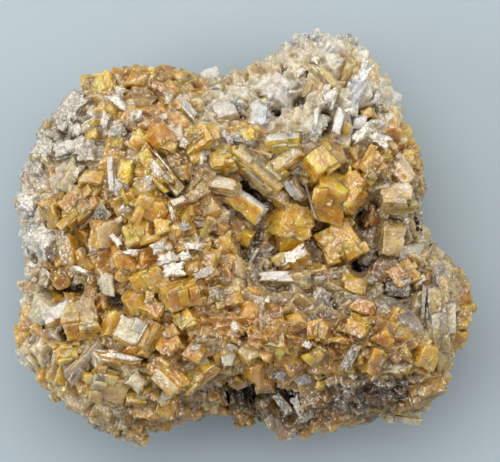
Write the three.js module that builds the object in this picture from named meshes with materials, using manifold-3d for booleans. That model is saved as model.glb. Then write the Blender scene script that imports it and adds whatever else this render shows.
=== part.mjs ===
// Wulfenite specimen: a broken piece of host rock that carries a druse of grown-together tabular
// crystals. Two hollows of the druse, a wide vug and a notch in the lower edge, have linings of
// their own. Units are millimetres. The specimen lies on the flat broken underside of the rock with
// the crystal face up (+Z), and its origin is the middle of the base of its bounding box.
import * as THREE from 'three';
import { mergeVertices } from 'three/addons/utils/BufferGeometryUtils.js';
import Module from 'manifold-3d';

const wasm = await Module();
wasm.setup();

// ---- Driving dimensions, in millimetres ----
const RIM_HEIGHT = 12; // the widest outline, above the resting face
const CROWN_RISE = 13; // the crystal face, above the widest outline
const SHOULDER_POWER = 3.4; // how square the crystal face is before it rolls off at the rim
const CRUST_THICKNESS = 2.6; // crystal crust over the rock
const CRUST_INSET = 1.2; // from the outline to the crust between its crystals
const LIP_HEIGHT = 9; // lower edge of the crust where it wraps round the rim
const LIP_WAVE = 1.6; // how far that edge wanders up and down
const ROCK_INSET = 1.7; // from the crust's side to the rock's side
const CLEARANCE = 0.3; // gap between neighbouring solids
const RESTING_SPREAD = 0.55; // part of the way to the rim where the underside is flat
const UNDERSIDE_POWER = 2.1; // how fast the broken underside climbs to the rim
const BREAK_DEPTH = 2.4; // height of the steps in the broken rock
const TAPER = 0.14; // how far a tablet's outer face draws in, as a part of its sides
const ROCK_DETAIL = 5; // subdivisions of the sphere that the rock is shaped from
const CRUST_DETAIL = 5; // the same for the crust
const BLOCK_HEIGHT = 60; // upright blocks that part the linings from the crust
const FILL_REACH = 38; // half of the square that small crystals are strewn over
const FILL_TRIES = 6000; // places tried for them
const FILL_FLATNESS = 0.55; // thickness of a small crystal, as a part of its length
const NARROWEST = 0.6; // width of the narrowest small crystal, as a part of its length
const TURN_SCATTER = 40; // spread of the small crystals' headings, in degrees
const TIP_SCATTER = 50; // the same for how far their ends stand up
const ROLL_SCATTER = 70; // the same for their roll
const FILL_LIFT = 0.4; // its middle, above the crust
const FILL_SPREAD = 0.9; // how near to the outline small crystals grow
const RIM_SPREAD = 0.95; // where the middles of the rim's crystals lie
const RIM_DROP = 5; // how far down the side of the crust they grow
const RIM_LEAN = 45; // how far a small crystal at the rim leans outwards, in degrees

// Outline of the specimen seen from above: [x, y], anticlockwise from the right.
const OUTLINE = [
  [26.5, 3.5],
  [27, 11],
  [24, 18],
  [21.5, 24],
  [18.5, 28],
  [13.5, 31],
  [8.5, 31],
  [4.5, 28],
  [1, 25.5],
  [-4, 24.5],
  [-10.5, 25],
  [-17, 26],
  [-23.5, 24],
  [-30, 18],
  [-33.5, 11.5],
  [-35, 5],
  [-33.5, -2.5],
  [-33.5, -9],
  [-35, -15.5],
  [-32, -21.5],
  [-25.5, -27],
  [-19, -30.5],
  [-14, -29.5],
  [-9, -27.5],
  [-3, -27],
  [3, -28],
  [8, -29.5],
  [14, -29],
  [20, -27.5],
  [26, -27],
  [30, -22],
  [32.5, -16],
  [35, -11],
  [33.5, -6.5],
  [28.5, -1.5],
];

// Main swells and hollows of the crystal face. Each is a bell: half-lengths along and across it,
// the turn of its long axis in degrees, and its rise, which is negative for a hollow.
const RELIEF = [
  { name: 'upper ridge', x: -12, y: 15, along: 9, across: 5, turn: -45, rise: 2.5 },
  { name: 'middle ridge', x: -10.5, y: 0, along: 12, across: 5.5, turn: 95, rise: 3.8 },
  { name: 'lower ridge', x: 3, y: -14, along: 13, across: 5, turn: -8, rise: 4.5 },
  { name: 'lower right ridge', x: 21, y: -16, along: 9, across: 5, turn: -15, rise: 3.5 },
  { name: 'lower left swell', x: -18, y: -21, along: 8, across: 5, turn: 20, rise: 2 },
  { name: 'left bench', x: -26, y: 4, along: 6, across: 4, turn: 5, rise: 1.5 },
  { name: 'left pit', x: -27.5, y: -8, along: 4, across: 2.6, turn: 0, rise: -3.5 },
  { name: 'vug', x: 11.5, y: 0, along: 14, across: 8.5, turn: -10, rise: -9 },
  { name: 'right shelf', x: 24, y: 6, along: 4, across: 5, turn: 90, rise: 2 },
  { name: 'peak', x: 12, y: 23, along: 6, across: 7, turn: 0, rise: 1.5 },
  { name: 'notch', x: 3, y: -26, along: 6, across: 6, turn: 0, rise: -7 },
];

// Outlines of the two lined hollows, seen from above: [x, y].
const VUG_OUTLINE = [
  [-2.5, 7],
  [3, 9.5],
  [9, 10.5],
  [16, 10],
  [21.5, 8.5],
  [25, 5],
  [26, 0.5],
  [24, -4.5],
  [20, -8],
  [14, -9],
  [7, -8.5],
  [2, -7.5],
  [-1, -3.5],
  [-2.5, 2],
];
const NOTCH_OUTLINE = [
  [-2.5, -22],
  [2.5, -21],
  [7, -22],
  [9.5, -25],
  [10, -30],
  [7, -34],
  [1, -34],
  [-3, -31],
  [-3.5, -26],
];

// Crystals, one to a line: x, y, length, width, thickness, turn of the long axis about +Z, tip of its
// far end above the level, roll about the long axis (90 stands the plate on edge), and the lift of
// the crystal's middle above the crust. Lengths in millimetres, angles in degrees.
const CRUST_TABLETS = [
  [-21.6, 22.8, 5.2, 4.4, 3.4, 10, 12, -15, 0.4],
  [-19, 20, 6.2, 1.9, 1.6, -32, 6, -15, 1.2],
  [-26, 13.6, 5, 2.4, 1.6, 20, 8, -18, 0.8],
  [-26.3, 8.9, 5.6, 2.4, 1.4, 62, 5, 20, 0.9],
  [-19.8, 9.2, 5.4, 1.7, 0.9, 92, 0, 66, 1.1],
  [-28.2, 3.6, 4.6, 3.2, 3.2, -71, -8, 45, 1],
  [-24.7, 4, 6, 3.2, 3, 40, 6, -14, 1.1],
  [-17.5, 5, 4.6, 4.2, 3, 30, 12, 15, 0.6],
  [-14, 4.4, 4.2, 4, 3, -20, -10, 20, 0.8],
  [-15.6, 0.4, 5, 4, 3, 15, 15, -15, 0.6],
  [-15.6, 23.7, 4.6, 4.2, 3.4, -10, 10, -20, 0.2],
  [-9.6, 22.4, 3.8, 3.6, 3, 30, -12, -25, 0.3],
  [-9.4, 19, 4.4, 2.8, 1.2, -52, 5, 30, 1],
  [-7, 14.6, 4.8, 4, 2.6, 30, 10, -20, 1],
  [-3.6, 11.4, 4.2, 3.8, 3, 20, 10, -25, 0.8],
  [-13.2, 10.2, 6, 3, 1.6, -50, 5, 20, 1.2],
  [5.6, 14.4, 6.4, 2, 2.2, 3, 5, -42, 1],
  [1.9, 9.9, 8.6, 3.1, 2.6, -38, -8, -36, 1.2],
  [6.4, 11.7, 6, 2.6, 2.3, 35, 5, -25, 1],
  [11, 11.3, 4.6, 4.2, 3.2, 35, -20, -6, 1.2],
  [18.8, 11.2, 5, 3.6, 2.8, 55, -8, 16, 1],
  [16.1, 21.6, 5.2, 2.5, 1.4, 64, 6, -12, 1.3],
  [11.9, 23.8, 4.6, 1.7, 1.5, -45, 8, -25, 1],
  [12.6, 21.2, 3.4, 2.6, 1.4, 80, 12, -15, 1.1],
  [17.5, 15.5, 5, 2.4, 1.8, 40, 10, -15, 1.1],
  [-11.8, -20.2, 7, 3.6, 2.2, -46, 8, 34, 1.2],
  [-7.2, -20.4, 6.6, 3.6, 2.2, 44, 8, -34, 1.2],
  [-17.4, -13.8, 4.8, 4.4, 2.2, -24, -6, -12, 1.3],
  [-13.9, -14.6, 5, 2.8, 2.4, 61, 0, 32, 1.2],
  [-18.8, -18, 7.2, 1.6, 2, -12, 3, -28, 0.9],
  [-20.6, -22.2, 6.6, 4.6, 3, -14, -8, 12, 0.8],
  [-24.4, -12.4, 5.4, 5.6, 4.4, 8, 5, -34, 0.7],
  [-28, -11.4, 5.2, 2.6, 2, 23, 12, -28, 1],
  [-27, -17.4, 4.2, 3, 2.6, 6, 6, -28, 0.8],
  [-23.8, -17.8, 7.8, 1.8, 1.2, 46, 3, 30, 0.9],
  [-11.2, -15.6, 4.4, 4.2, 3, 30, 12, -20, 0.8],
  [-9.4, -8.6, 6, 4.6, 3, 14, -12, 18, 1],
  [-8.8, -12.2, 3.4, 2.8, 2.4, 35, 15, -20, 1],
  [-7.8, -4, 2.6, 3.6, 2.4, 15, 10, -20, 0.9],
  [-5.4, -3.6, 2.8, 3, 2.2, -20, 10, -20, 0.9],
  [-2.7, -9.2, 5, 3.6, 2.8, 15, -8, -22, 1],
  [2.4, -9.6, 2.4, 2.2, 1.4, -25, 12, -12, 1.1],
  [10.2, -17.4, 3.4, 2.4, 2, 48, 10, 25, 1],
  [11.3, -14, 2, 3.4, 2.2, -8, 10, -20, 1],
  [15.6, -17.8, 5, 1.8, 1.6, 60, 6, -20, 0.9],
  [18.9, -18.6, 4.2, 2.4, 2.2, 68, 6, 25, 0.9],
  [22, -19.8, 3.8, 2.6, 2.2, -10, 8, -30, 0.9],
  [-32, 5, 4.2, 4.6, 2.6, 80, 30, 25, -0.5],
  [-30.6, 0.2, 6, 4.6, 3, -28, -14, 12, -0.2],
  [-26.3, -1.4, 5.4, 2.8, 2.8, -80, -6, 35, 0.8],
  [29.2, -5, 4.6, 3.4, 3, -28, -12, -20, 0],
  [28.8, -12.6, 10.4, 4.2, 2.4, 93, 5, 18, 0.6],
  [32.4, -11.6, 4.4, 3.6, 3, 10, -20, 15, 0],
  [26.2, -22.2, 6.2, 4.6, 4, 20, -12, -15, 0.2],
  [24, -26.4, 6.6, 3, 2.6, -4, -10, 20, -1.5],
  [-32.4, -16.6, 4.8, 4, 2.6, 60, -25, 15, -0.5],
  [-17, -28.6, 5, 4, 2.8, 70, -25, 10, -0.5],
  [9.8, 29.4, 4, 3, 2.4, 20, 25, 15, -0.2],
  [-5.8, -24.6, 4.4, 3, 2.2, -15, -15, 20, 0],
];
const VUG_TABLETS = [
  [-0.4, 5.2, 7.4, 3.2, 1.7, -36, -8, 20, 2],
  [7.6, 7.2, 4.4, 1.7, 1.7, -62, -8, 30, 2],
  [12.6, 6.2, 5.2, 4.8, 6.6, -12, 0, -48, 2.2],
  [15.7, 6.9, 7.2, 4.2, 3.6, 58, 8, -22, 2.2],
  [7, 2.6, 6.8, 6.2, 4.4, -12, -26, 6, 2.6],
  [7, -3.2, 6.4, 2.8, 2.6, 24, -6, -25, 2],
  [14.6, -1, 7, 6.6, 5, 30, 6, -12, 2.6],
  [4.2, -6.2, 5.8, 2.1, 2.1, 2, 0, -28, 1.3],
  [22.6, 5.8, 5.8, 3.4, 4.2, 5, 0, -30, 1],
  [21.9, -0.1, 3.8, 6.4, 3.6, -4, -14, 6, 1.4],
  [23.6, -6, 4.6, 4.4, 3, 30, -12, -18, 0.8],
  [16.3, -7.5, 4.2, 3.4, 3, -12, 8, -28, 1],
  [19.2, 3.4, 3.6, 3, 2, 70, 25, 30, 0.6],
];
const NOTCH_TABLETS = [
  [-0.4, -27, 4, 3.4, 3, 35, -20, 10, 1.5],
  [4.5, -27.5, 8.8, 3.8, 2.6, -56, -12, -18, 2],
  [5.8, -25, 4.6, 2, 1.6, -50, 8, 25, 2],
  [8.6, -25.4, 4.4, 2.6, 2, -60, 12, 20, 1.5],
];

// Smaller crystals that fill the faces between the placed ones.
const CRUST_FILL = { count: 52, seed: 11, spacing: 4.6, smallest: 3.6, largest: 5.6 };
const RIM_FILL = { count: 26, seed: 5, smallest: 3.8, largest: 5.6 };
const VUG_FILL = { count: 10, seed: 23, spacing: 3.6, smallest: 2.2, largest: 3.6 };

// Colours of the stone and of the crystals in each place.
const MATERIALS = {
  rock: new THREE.MeshStandardMaterial({ color: '#7d786c', roughness: 0.95, metalness: 0 }),
  crust: new THREE.MeshStandardMaterial({ color: '#c98a2b', roughness: 0.35, metalness: 0 }),
  vug: new THREE.MeshStandardMaterial({ color: '#e0a01f', roughness: 0.3, metalness: 0 }),
  notch: new THREE.MeshStandardMaterial({ color: '#9a5a1d', roughness: 0.35, metalness: 0 }),
};

const corners = OUTLINE.map(([x, y]) => ({ angle: Math.atan2(y, x), radius: Math.hypot(x, y) }));
corners.sort((a, b) => a.angle - b.angle);

/** Distance from the middle to the outline in the direction of an angle. */
function rimRadius(angle) {
  const found = corners.findIndex((corner) => corner.angle > angle);
  const next = corners[found < 0 ? 0 : found];
  const last = corners[(found < 0 ? 0 : found) - 1] ?? corners[corners.length - 1];
  const turn = 2 * Math.PI;
  const span = (next.angle - last.angle + turn) % turn;
  const share = ((angle - last.angle + turn) % turn) / span;
  return last.radius + share * (next.radius - last.radius);
}

/** A bell over the plan: 1 at its middle, falling off along and across its long axis. */
function bell({ x, y, along, across, turn }, px, py) {
  const angle = THREE.MathUtils.degToRad(turn);
  const u = (px - x) * Math.cos(angle) + (py - y) * Math.sin(angle);
  const v = (py - y) * Math.cos(angle) - (px - x) * Math.sin(angle);
  return Math.exp(-((u / along) ** 2) - (v / across) ** 2);
}

/** Height of the crust between its crystals: a dome with square shoulders, swells and hollows. */
function crownHeight(x, y) {
  const spread = Math.min(Math.hypot(x, y) / rimRadius(Math.atan2(y, x)), 1);
  const dome = RIM_HEIGHT + CROWN_RISE * Math.sqrt(1 - spread ** SHOULDER_POWER);
  return RELIEF.reduce((height, form) => height + form.rise * bell(form, x, y), dome);
}

/** Uneven steps of broken rock, about -1 to 1: two wave patterns, 20 and 9 mm across. */
function breakStep(x, y, z) {
  const coarse = Math.sin(0.31 * x + 0.17 * z) * Math.cos(0.27 * y - 0.4 + 0.1 * z);
  const fine = Math.sin(0.7 * y + 0.3 * x + 1) * Math.cos(0.66 * x - 0.2 * y);
  return 0.65 * coarse + 0.35 * fine;
}

/**
 * A sphere drawn out to the outline less `inset`. Its upper half takes the crown's height less
 * `drop`, and its lower half the height that `underside(spread, rim, x, y)` gives. Its faces then
 * move outwards by `grow`.
 */
function shapedSphere(detail, inset, drop, underside, grow) {
  const sphere = new THREE.IcosahedronGeometry(1, detail);
  sphere.deleteAttribute('normal');
  sphere.deleteAttribute('uv');
  const geometry = mergeVertices(sphere, 1e-4);
  const place = geometry.getAttribute('position');
  for (let i = 0; i < place.count; i += 1) {
    const angle = Math.atan2(place.getY(i), place.getX(i));
    const spread = Math.min(Math.hypot(place.getX(i), place.getY(i)), 1);
    const radius = rimRadius(angle) - inset;
    const x = spread * radius * Math.cos(angle);
    const y = spread * radius * Math.sin(angle);
    const rim = crownHeight(radius * Math.cos(angle), radius * Math.sin(angle)) - drop;
    const z = place.getZ(i) >= 0 ? crownHeight(x, y) - drop : underside(spread, rim, x, y);
    place.setXYZ(i, x, y, z);
  }
  geometry.computeVertexNormals();
  const outward = geometry.getAttribute('normal');
  const point = new THREE.Vector3();
  const step = new THREE.Vector3();
  for (let i = 0; i < place.count; i += 1) {
    point.fromBufferAttribute(place, i).addScaledVector(step.fromBufferAttribute(outward, i), grow);
    place.setXYZ(i, point.x, point.y, point.z);
  }
  return solid(geometry);
}

/** Host rock: flat to rest on in the middle of its underside, broken faces from there to the rim. */
function rockSolid(grow) {
  const underside = (spread, rim, x, y) => {
    const climb = Math.max(spread - RESTING_SPREAD, 0) / (1 - RESTING_SPREAD);
    const step = BREAK_DEPTH * breakStep(x, y, rim) * Math.sin(Math.PI * climb);
    return Math.max(rim * climb ** UNDERSIDE_POWER + step, 0);
  };
  const inset = CRUST_INSET + ROCK_INSET;
  return shapedSphere(ROCK_DETAIL, inset, CRUST_THICKNESS + CLEARANCE, underside, grow);
}

/** The crust without its crystals, as one thick sheet over the rock that wraps round its rim. */
function crustSheet(grow) {
  const edge = (spread, rim, x, y) => LIP_HEIGHT + LIP_WAVE * breakStep(2 * x, 2 * y, 0);
  return shapedSphere(CRUST_DETAIL, CRUST_INSET, 0, edge, grow);
}

/** A closed three.js geometry as a solid that can be joined and cut. */
function solid(geometry) {
  geometry.deleteAttribute('normal');
  geometry.deleteAttribute('uv');
  const merged = mergeVertices(geometry, 1e-4);
  const vertProperties = merged.getAttribute('position').array;
  const triVerts = new Uint32Array(merged.index.array);
  return new wasm.Manifold(new wasm.Mesh({ numProp: 3, vertProperties, triVerts }));
}

/** A square-cornered tablet about the origin, its broad faces level and the upper one drawn in. */
function tablet(length, width, thickness) {
  const geometry = new THREE.BoxGeometry(length, width, thickness);
  const place = geometry.getAttribute('position');
  for (let i = 0; i < place.count; i += 1) {
    const share = place.getZ(i) > 0 ? 1 - TAPER : 1;
    place.setXY(i, place.getX(i) * share, place.getY(i) * share);
  }
  return geometry;
}

/** One crystal of a list, turned and set into the crust where it grows. */
function placedTablet([x, y, length, width, thickness, turn, tip, roll, lift], grow) {
  const geometry = tablet(length + 2 * grow, width + 2 * grow, thickness + 2 * grow);
  const angles = [roll, -tip, turn].map(THREE.MathUtils.degToRad);
  const attitude = new THREE.Euler(...angles, 'ZYX');
  geometry.applyMatrix4(new THREE.Matrix4().makeRotationFromEuler(attitude));
  return solid(geometry.translate(x, y, crownHeight(x, y) + lift));
}

/** A repeatable stream of numbers between 0 and 1. */
function numberStream(seed) {
  let state = seed;
  return () => {
    state = (state * 1664525 + 1013904223) % 4294967296;
    return state / 4294967296;
  };
}

/** Whether a place in plan lies inside a closed outline. */
function inside(outline, x, y) {
  const crossings = outline.filter(([ax, ay], i) => {
    const [bx, by] = outline[(i + 1) % outline.length];
    return ay > y !== by > y && x < ax + ((y - ay) / (by - ay)) * (bx - ax);
  });
  return crossings.length % 2 === 1;
}

/** A small crystal at a place: set along or across the way outwards, and leaning out near the rim. */
function fillTablet(x, y, length, lift, next) {
  const outward = THREE.MathUtils.radToDeg(Math.atan2(y, x));
  const quarter = 90 * Math.floor(4 * next());
  const turn = outward + quarter + TURN_SCATTER * (next() - 0.5);
  const spread = Math.hypot(x, y) / rimRadius(Math.atan2(y, x));
  const lean = RIM_LEAN * spread ** 4 * Math.cos(THREE.MathUtils.degToRad(quarter));
  const tip = TIP_SCATTER * (next() - 0.5) - lean;
  const width = length * (NARROWEST + (1 - NARROWEST) * next());
  const roll = ROLL_SCATTER * (next() - 0.5);
  return [x, y, length, width, length * FILL_FLATNESS, turn, tip, roll, lift];
}

/** Crystals that stand out sideways all round the rim, over the crust's lower edge. */
function rimTablets({ count, seed, smallest, largest }) {
  const next = numberStream(seed);
  return Array.from({ length: count }, (_, i) => {
    const angle = ((i + 0.5 * next()) / count) * 2 * Math.PI - Math.PI;
    const reach = RIM_SPREAD * rimRadius(angle);
    const length = smallest + (largest - smallest) * next();
    const lift = -RIM_DROP * next();
    return fillTablet(reach * Math.cos(angle), reach * Math.sin(angle), length, lift, next);
  });
}

/** Small crystals strewn where `allowed(x, y)` says, no nearer to others than the spacing. */
function fillTablets({ count, seed, spacing, smallest, largest }, placed, allowed) {
  const next = numberStream(seed);
  const made = [];
  for (let tries = 0; made.length < count && tries < FILL_TRIES; tries += 1) {
    const x = (2 * next() - 1) * FILL_REACH;
    const y = (2 * next() - 1) * FILL_REACH;
    const near = [...placed, ...made].some(([ax, ay]) => Math.hypot(ax - x, ay - y) < spacing);
    if (near || !allowed(x, y)) continue;
    const length = smallest + (largest - smallest) * next();
    made.push(fillTablet(x, y, length, FILL_LIFT, next));
  }
  return made;
}

/** An upright block over a closed outline, grown outwards from the outline's middle. */
function uprightBlock(outline, grow) {
  const posts = outline.map(([x, y]) => new THREE.Vector2(x, y));
  const middle = posts.reduce((sum, corner) => sum.add(corner), new THREE.Vector2());
  middle.divideScalar(outline.length);
  const points = posts.map((corner) => {
    const arm = corner.clone().sub(middle);
    return middle.clone().add(arm.setLength(arm.length() + grow));
  });
  const options = { depth: BLOCK_HEIGHT, bevelEnabled: false };
  return solid(new THREE.ExtrudeGeometry(new THREE.Shape(points), options));
}

/** All parts joined into one solid. */
const joined = (parts) => parts.reduce((whole, part) => whole.add(part));

/** The largest connected piece: crumbs that a cut leaves loose are dropped. */
const largestPiece = (whole) => whole.decompose().reduce((a, b) => (a.volume() > b.volume() ? a : b));

/** The room that a solid takes with the gap round it. */
const withGap = (make) => make(0).add(make(CLEARANCE));

/** The lining of a hollow: its share of the crust sheet with its crystals, grown by a clearance. */
function lining(outline, tablets, grow) {
  const sheet = crustSheet(grow).intersect(uprightBlock(outline, grow));
  return joined([sheet, ...tablets.map((tablet) => placedTablet(tablet, grow))]);
}

/** Whether a place carries the main crust's crystals: inside the outline and clear of the hollows. */
function onCrust(x, y) {
  const spread = Math.hypot(x, y) / rimRadius(Math.atan2(y, x));
  return spread < FILL_SPREAD && !inside(VUG_OUTLINE, x, y) && !inside(NOTCH_OUTLINE, x, y);
}

/** A named mesh of a solid, with its material. */
function namedMesh(name, whole, material) {
  const { vertProperties, triVerts } = largestPiece(whole).getMesh();
  const geometry = new THREE.BufferGeometry();
  geometry.setAttribute('position', new THREE.BufferAttribute(vertProperties, 3));
  geometry.setIndex(new THREE.BufferAttribute(triVerts, 1));
  geometry.computeVertexNormals();
  const mesh = new THREE.Mesh(geometry, material);
  mesh.name = name;
  return mesh;
}

// ---- The specimen ----
const crustFill = fillTablets(CRUST_FILL, CRUST_TABLETS, onCrust);
const vugFill = fillTablets(VUG_FILL, VUG_TABLETS, (x, y) => inside(VUG_OUTLINE, x, y));
const vugTablets = [...VUG_TABLETS, ...vugFill];
const vugLining = (grow) => lining(VUG_OUTLINE, vugTablets, grow);
const notchLining = (grow) => lining(NOTCH_OUTLINE, NOTCH_TABLETS, grow);
const [rockRoom, vugRoom, notchRoom] = [rockSolid, vugLining, notchLining].map(withGap);
const rock = rockSolid(0);
const vug = vugLining(0).subtract(rockRoom);
const notch = notchLining(0).subtract(rockRoom);
const crustTablets = [...CRUST_TABLETS, ...crustFill, ...rimTablets(RIM_FILL)];
const crust = joined([crustSheet(0), ...crustTablets.map((tablet) => placedTablet(tablet, 0))]);
const crustRooms = [rockRoom, vugRoom, notchRoom];
const cutCrust = crustRooms.reduce((whole, room) => whole.subtract(room), crust);

const specimen = new THREE.Group();
specimen.add(namedMesh('host_rock', rock, MATERIALS.rock));
specimen.add(namedMesh('crystal_crust', cutCrust, MATERIALS.crust));
specimen.add(namedMesh('vug_crystals', vug, MATERIALS.vug));
specimen.add(namedMesh('notch_crystals', notch, MATERIALS.notch));
const box = new THREE.Box3().setFromObject(specimen);
const middle = box.getCenter(new THREE.Vector3());
specimen.position.set(-middle.x, -middle.y, -box.min.z);

export default specimen;
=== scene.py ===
"""Wulfenite specimen: golden tabular crystals grown together over a broken piece of grey rock.

Shapes are worked out in millimetres about the middle of the drawn outline, and go into metres and
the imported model's frame when a mesh is made: the flat underside of the rock lies on z = 0 and the
crystal face looks up. Every crystal is a cube's surface from -1 to 1 whose points numpy carries to
their places, many crystals at once.
"""

from __future__ import annotations

import logging
from collections.abc import Callable
from dataclasses import dataclass
from enum import Enum
from itertools import product

import bpy
import numpy as np
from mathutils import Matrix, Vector


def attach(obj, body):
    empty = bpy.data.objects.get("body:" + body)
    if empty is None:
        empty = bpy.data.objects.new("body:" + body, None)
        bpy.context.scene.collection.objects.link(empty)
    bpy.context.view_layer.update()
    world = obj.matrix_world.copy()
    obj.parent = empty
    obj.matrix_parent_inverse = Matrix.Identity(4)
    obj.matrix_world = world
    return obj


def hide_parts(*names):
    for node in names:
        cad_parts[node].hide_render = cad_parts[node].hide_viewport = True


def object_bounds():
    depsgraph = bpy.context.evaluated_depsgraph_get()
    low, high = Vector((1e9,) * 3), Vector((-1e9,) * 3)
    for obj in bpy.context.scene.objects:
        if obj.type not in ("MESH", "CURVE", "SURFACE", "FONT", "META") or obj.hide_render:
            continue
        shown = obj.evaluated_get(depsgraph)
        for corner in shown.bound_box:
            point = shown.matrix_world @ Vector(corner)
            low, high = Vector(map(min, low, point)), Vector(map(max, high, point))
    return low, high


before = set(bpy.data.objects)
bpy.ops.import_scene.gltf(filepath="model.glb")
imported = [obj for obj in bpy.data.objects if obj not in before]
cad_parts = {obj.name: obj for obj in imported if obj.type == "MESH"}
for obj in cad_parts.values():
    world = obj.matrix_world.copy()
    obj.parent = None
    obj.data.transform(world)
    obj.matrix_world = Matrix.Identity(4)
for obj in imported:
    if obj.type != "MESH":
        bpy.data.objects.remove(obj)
CAD_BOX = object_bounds()

Array = np.ndarray
Node = bpy.types.Node
Socket = bpy.types.NodeSocket
Tree = bpy.types.NodeTree
Material = bpy.types.Material
log = logging.getLogger("wulfenite")

MM = 0.001  # metres in a millimetre
TINY = 1e-12
OUTLINE_SHIFT = (0.3885, 0.0642, 0.0)  # from the drawn outline's middle to the frame's, in mm
BODY = "root"


# ---------------------------------------------------------------- choices


class Tone(Enum):
    """Colours of the crystals, as sRGB hex values."""

    GOLD = "#e3ac22"
    LEMON = "#efbb34"
    ORANGE = "#e09e1a"
    AMBER = "#ae7a1d"
    OLIVE = "#a88f44"
    BEIGE = "#cdb074"
    CREAM = "#f0e4c0"
    # near white of faces that mirror the light: a painted glint, laid on crystals that are pale
    # themselves
    SILVER = "#fdf3e2"
    GREY = "#aca08c"
    BROWN = "#583b20"
    # pale grey of plates that face the light: their own pale colour with painted glint
    PEARL = "#dbd2c3"


class Finish(Enum):
    """How a crystal's faces grew; the value is the index of its material on a piece."""

    CLEAN = 0
    SUGARY = 1
    STRIATED = 2
    PEARLY = 3


GOLD, LEMON, ORANGE, AMBER, OLIVE, BEIGE, CREAM, SILVER, GREY, BROWN, PEARL = Tone
CLEAN, SUGARY, STRIATED, PEARLY = Finish
STREWN_FINISHES = [CLEAN.value, SUGARY.value, SUGARY.value, STRIATED.value]  # half of them sugary


def linear(code: str) -> Array:
    """Turn an sRGB hex value into linear colour.

    A part over 0.04045 becomes ((part + 0.055) / 1.055) to the power 2.4, and a smaller one
    part / 12.92.

    Args:
        code: The colour as "#rrggbb".

    Returns:
        Red, green and blue, from 0 to 1.
    """
    part = np.array([int(code[i : i + 2], 16) for i in (1, 3, 5)]) / 255.0
    return np.where(part <= 0.04045, part / 12.92, ((part + 0.055) / 1.055) ** 2.4)


PALETTE = np.array([linear(tone.value) for tone in Tone])
TONE_INDEX = {tone: index for index, tone in enumerate(Tone)}


def colour_of(tone: Tone) -> Array:
    """Linear colour of a tone."""
    return PALETTE[TONE_INDEX[tone]]


def ramp(value: Array, start: float, width: float) -> Array:
    """Rise evenly from 0 at the start to 1 a width further on."""
    return np.clip((value - start) / width, 0, 1)


# ---------------------------------------------------------------- noise


def lattice(cells: Array, salt: int) -> Array:
    """Give each whole-numbered cell a repeatable number from 0 to 1, by mixing its indices' bits.

    Args:
        cells: Cell indices, with x, y and z in the last axis.
        salt: Picks one of many such patterns.

    Returns:
        One number to a cell.
    """
    index = cells.astype(np.int64).astype(np.uint64)
    mixed = index[..., 0] * np.uint64(73856093) ^ index[..., 1] * np.uint64(19349663)
    mixed ^= index[..., 2] * np.uint64(83492791) ^ np.uint64(salt * 2654435761)
    mixed = (mixed ^ (mixed >> np.uint64(15))) * np.uint64(2246822519)
    mixed = (mixed ^ (mixed >> np.uint64(29))) * np.uint64(3266489917)
    return ((mixed >> np.uint64(24)) & np.uint64(0xFFFFFF)).astype(float) / 0xFFFFFF


def smooth_noise(points: Array, cell: float, salt: int) -> Array:
    """Blend the lattice numbers at the eight corners of each point's cell, by 3t^2 - 2t^3.

    Args:
        points: Places in millimetres.
        cell: Side of a cell in millimetres.
        salt: Picks the pattern.

    Returns:
        A number from 0 to 1 at each place.
    """
    scaled = points / cell
    whole = np.floor(scaled)
    part = scaled - whole
    ease = part * part * (3 - 2 * part)
    total = np.zeros(points.shape[:-1])
    for corner in product((0, 1), repeat=3):
        share = np.where(np.array(corner) == 1, ease, 1 - ease).prod(axis=-1)
        total += share * lattice(whole + corner, salt)
    return total


def facet_noise(points: Array, cell: float, salt: int) -> Array:
    """Hackly facets that meet in sharp ridges.

    Every cell holds one seed, and over it stands a tilted bowl of height tilt . d + |d|^2, with d the
    way from the seed in cells. The surface is the lowest bowl at each place.

    Args:
        points: Places in millimetres.
        cell: Side of a cell in millimetres.
        salt: Picks the pattern.

    Returns:
        A height from about -1 to 1 at each place.
    """
    scaled = points / cell
    whole = np.floor(scaled)
    lowest = np.full(points.shape[:-1], np.inf)
    for step in product((-1, 0, 1), repeat=3):
        corner = whole + step
        seed = np.stack([lattice(corner, salt + k) for k in range(3)], axis=-1)
        tilt = np.stack([lattice(corner, salt + 3 + k) for k in range(3)], axis=-1) - 0.5
        away = scaled - corner - seed
        lowest = np.minimum(lowest, (away * (away + 2.4 * tilt)).sum(axis=-1))
    return 1.4 * lowest + 0.35


# ---------------------------------------------------------------- the specimen's form


@dataclass(frozen=True)
class Swell:
    """A bell on the crystal face: its middle, half-lengths, turn in degrees and rise, in mm."""

    x: float
    y: float
    along: float
    across: float
    turn: float
    rise: float

    def at(self, x: Array, y: Array) -> Array:
        """Work out the bell: rise * exp(-(u / along)^2 - (v / across)^2), u and v on its axes.

        Args:
            x: Places across.
            y: Places up the plan.

        Returns:
            Its height at each place.
        """
        turn = np.radians(self.turn)
        u = (x - self.x) * np.cos(turn) + (y - self.y) * np.sin(turn)
        v = (y - self.y) * np.cos(turn) - (x - self.x) * np.sin(turn)
        return self.rise * np.exp(-((u / self.along) ** 2) - (v / self.across) ** 2)


OUTLINE = np.array([
    (26.5, 3.5), (27, 11), (24, 18), (21.5, 24), (18.5, 28), (13.5, 31), (8.5, 31), (4.5, 28),
    (1, 25.5), (-4, 24.5), (-10.5, 25), (-17, 26), (-23.5, 24), (-30, 18), (-33.5, 11.5), (-35, 5),
    (-33.5, -2.5), (-33.5, -9), (-35, -15.5), (-32, -21.5), (-25.5, -27), (-19, -30.5),
    (-14, -29.5), (-9, -27.5), (-3, -27), (3, -28), (8, -29.5), (14, -29), (20, -27.5), (26, -27),
    (30, -22), (32.5, -16), (35, -11), (33.5, -6.5), (28.5, -1.5),
])  # fmt: skip

VUG_OUTLINE = np.array([
    (-2.5, 7), (3, 9.5), (9, 10.5), (16, 10), (21.5, 8.5), (25, 5), (26, 0.5), (24, -4.5),
    (20, -8), (14, -9), (7, -8.5), (2, -7.5), (-1, -3.5), (-2.5, 2),
])  # fmt: skip

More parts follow.
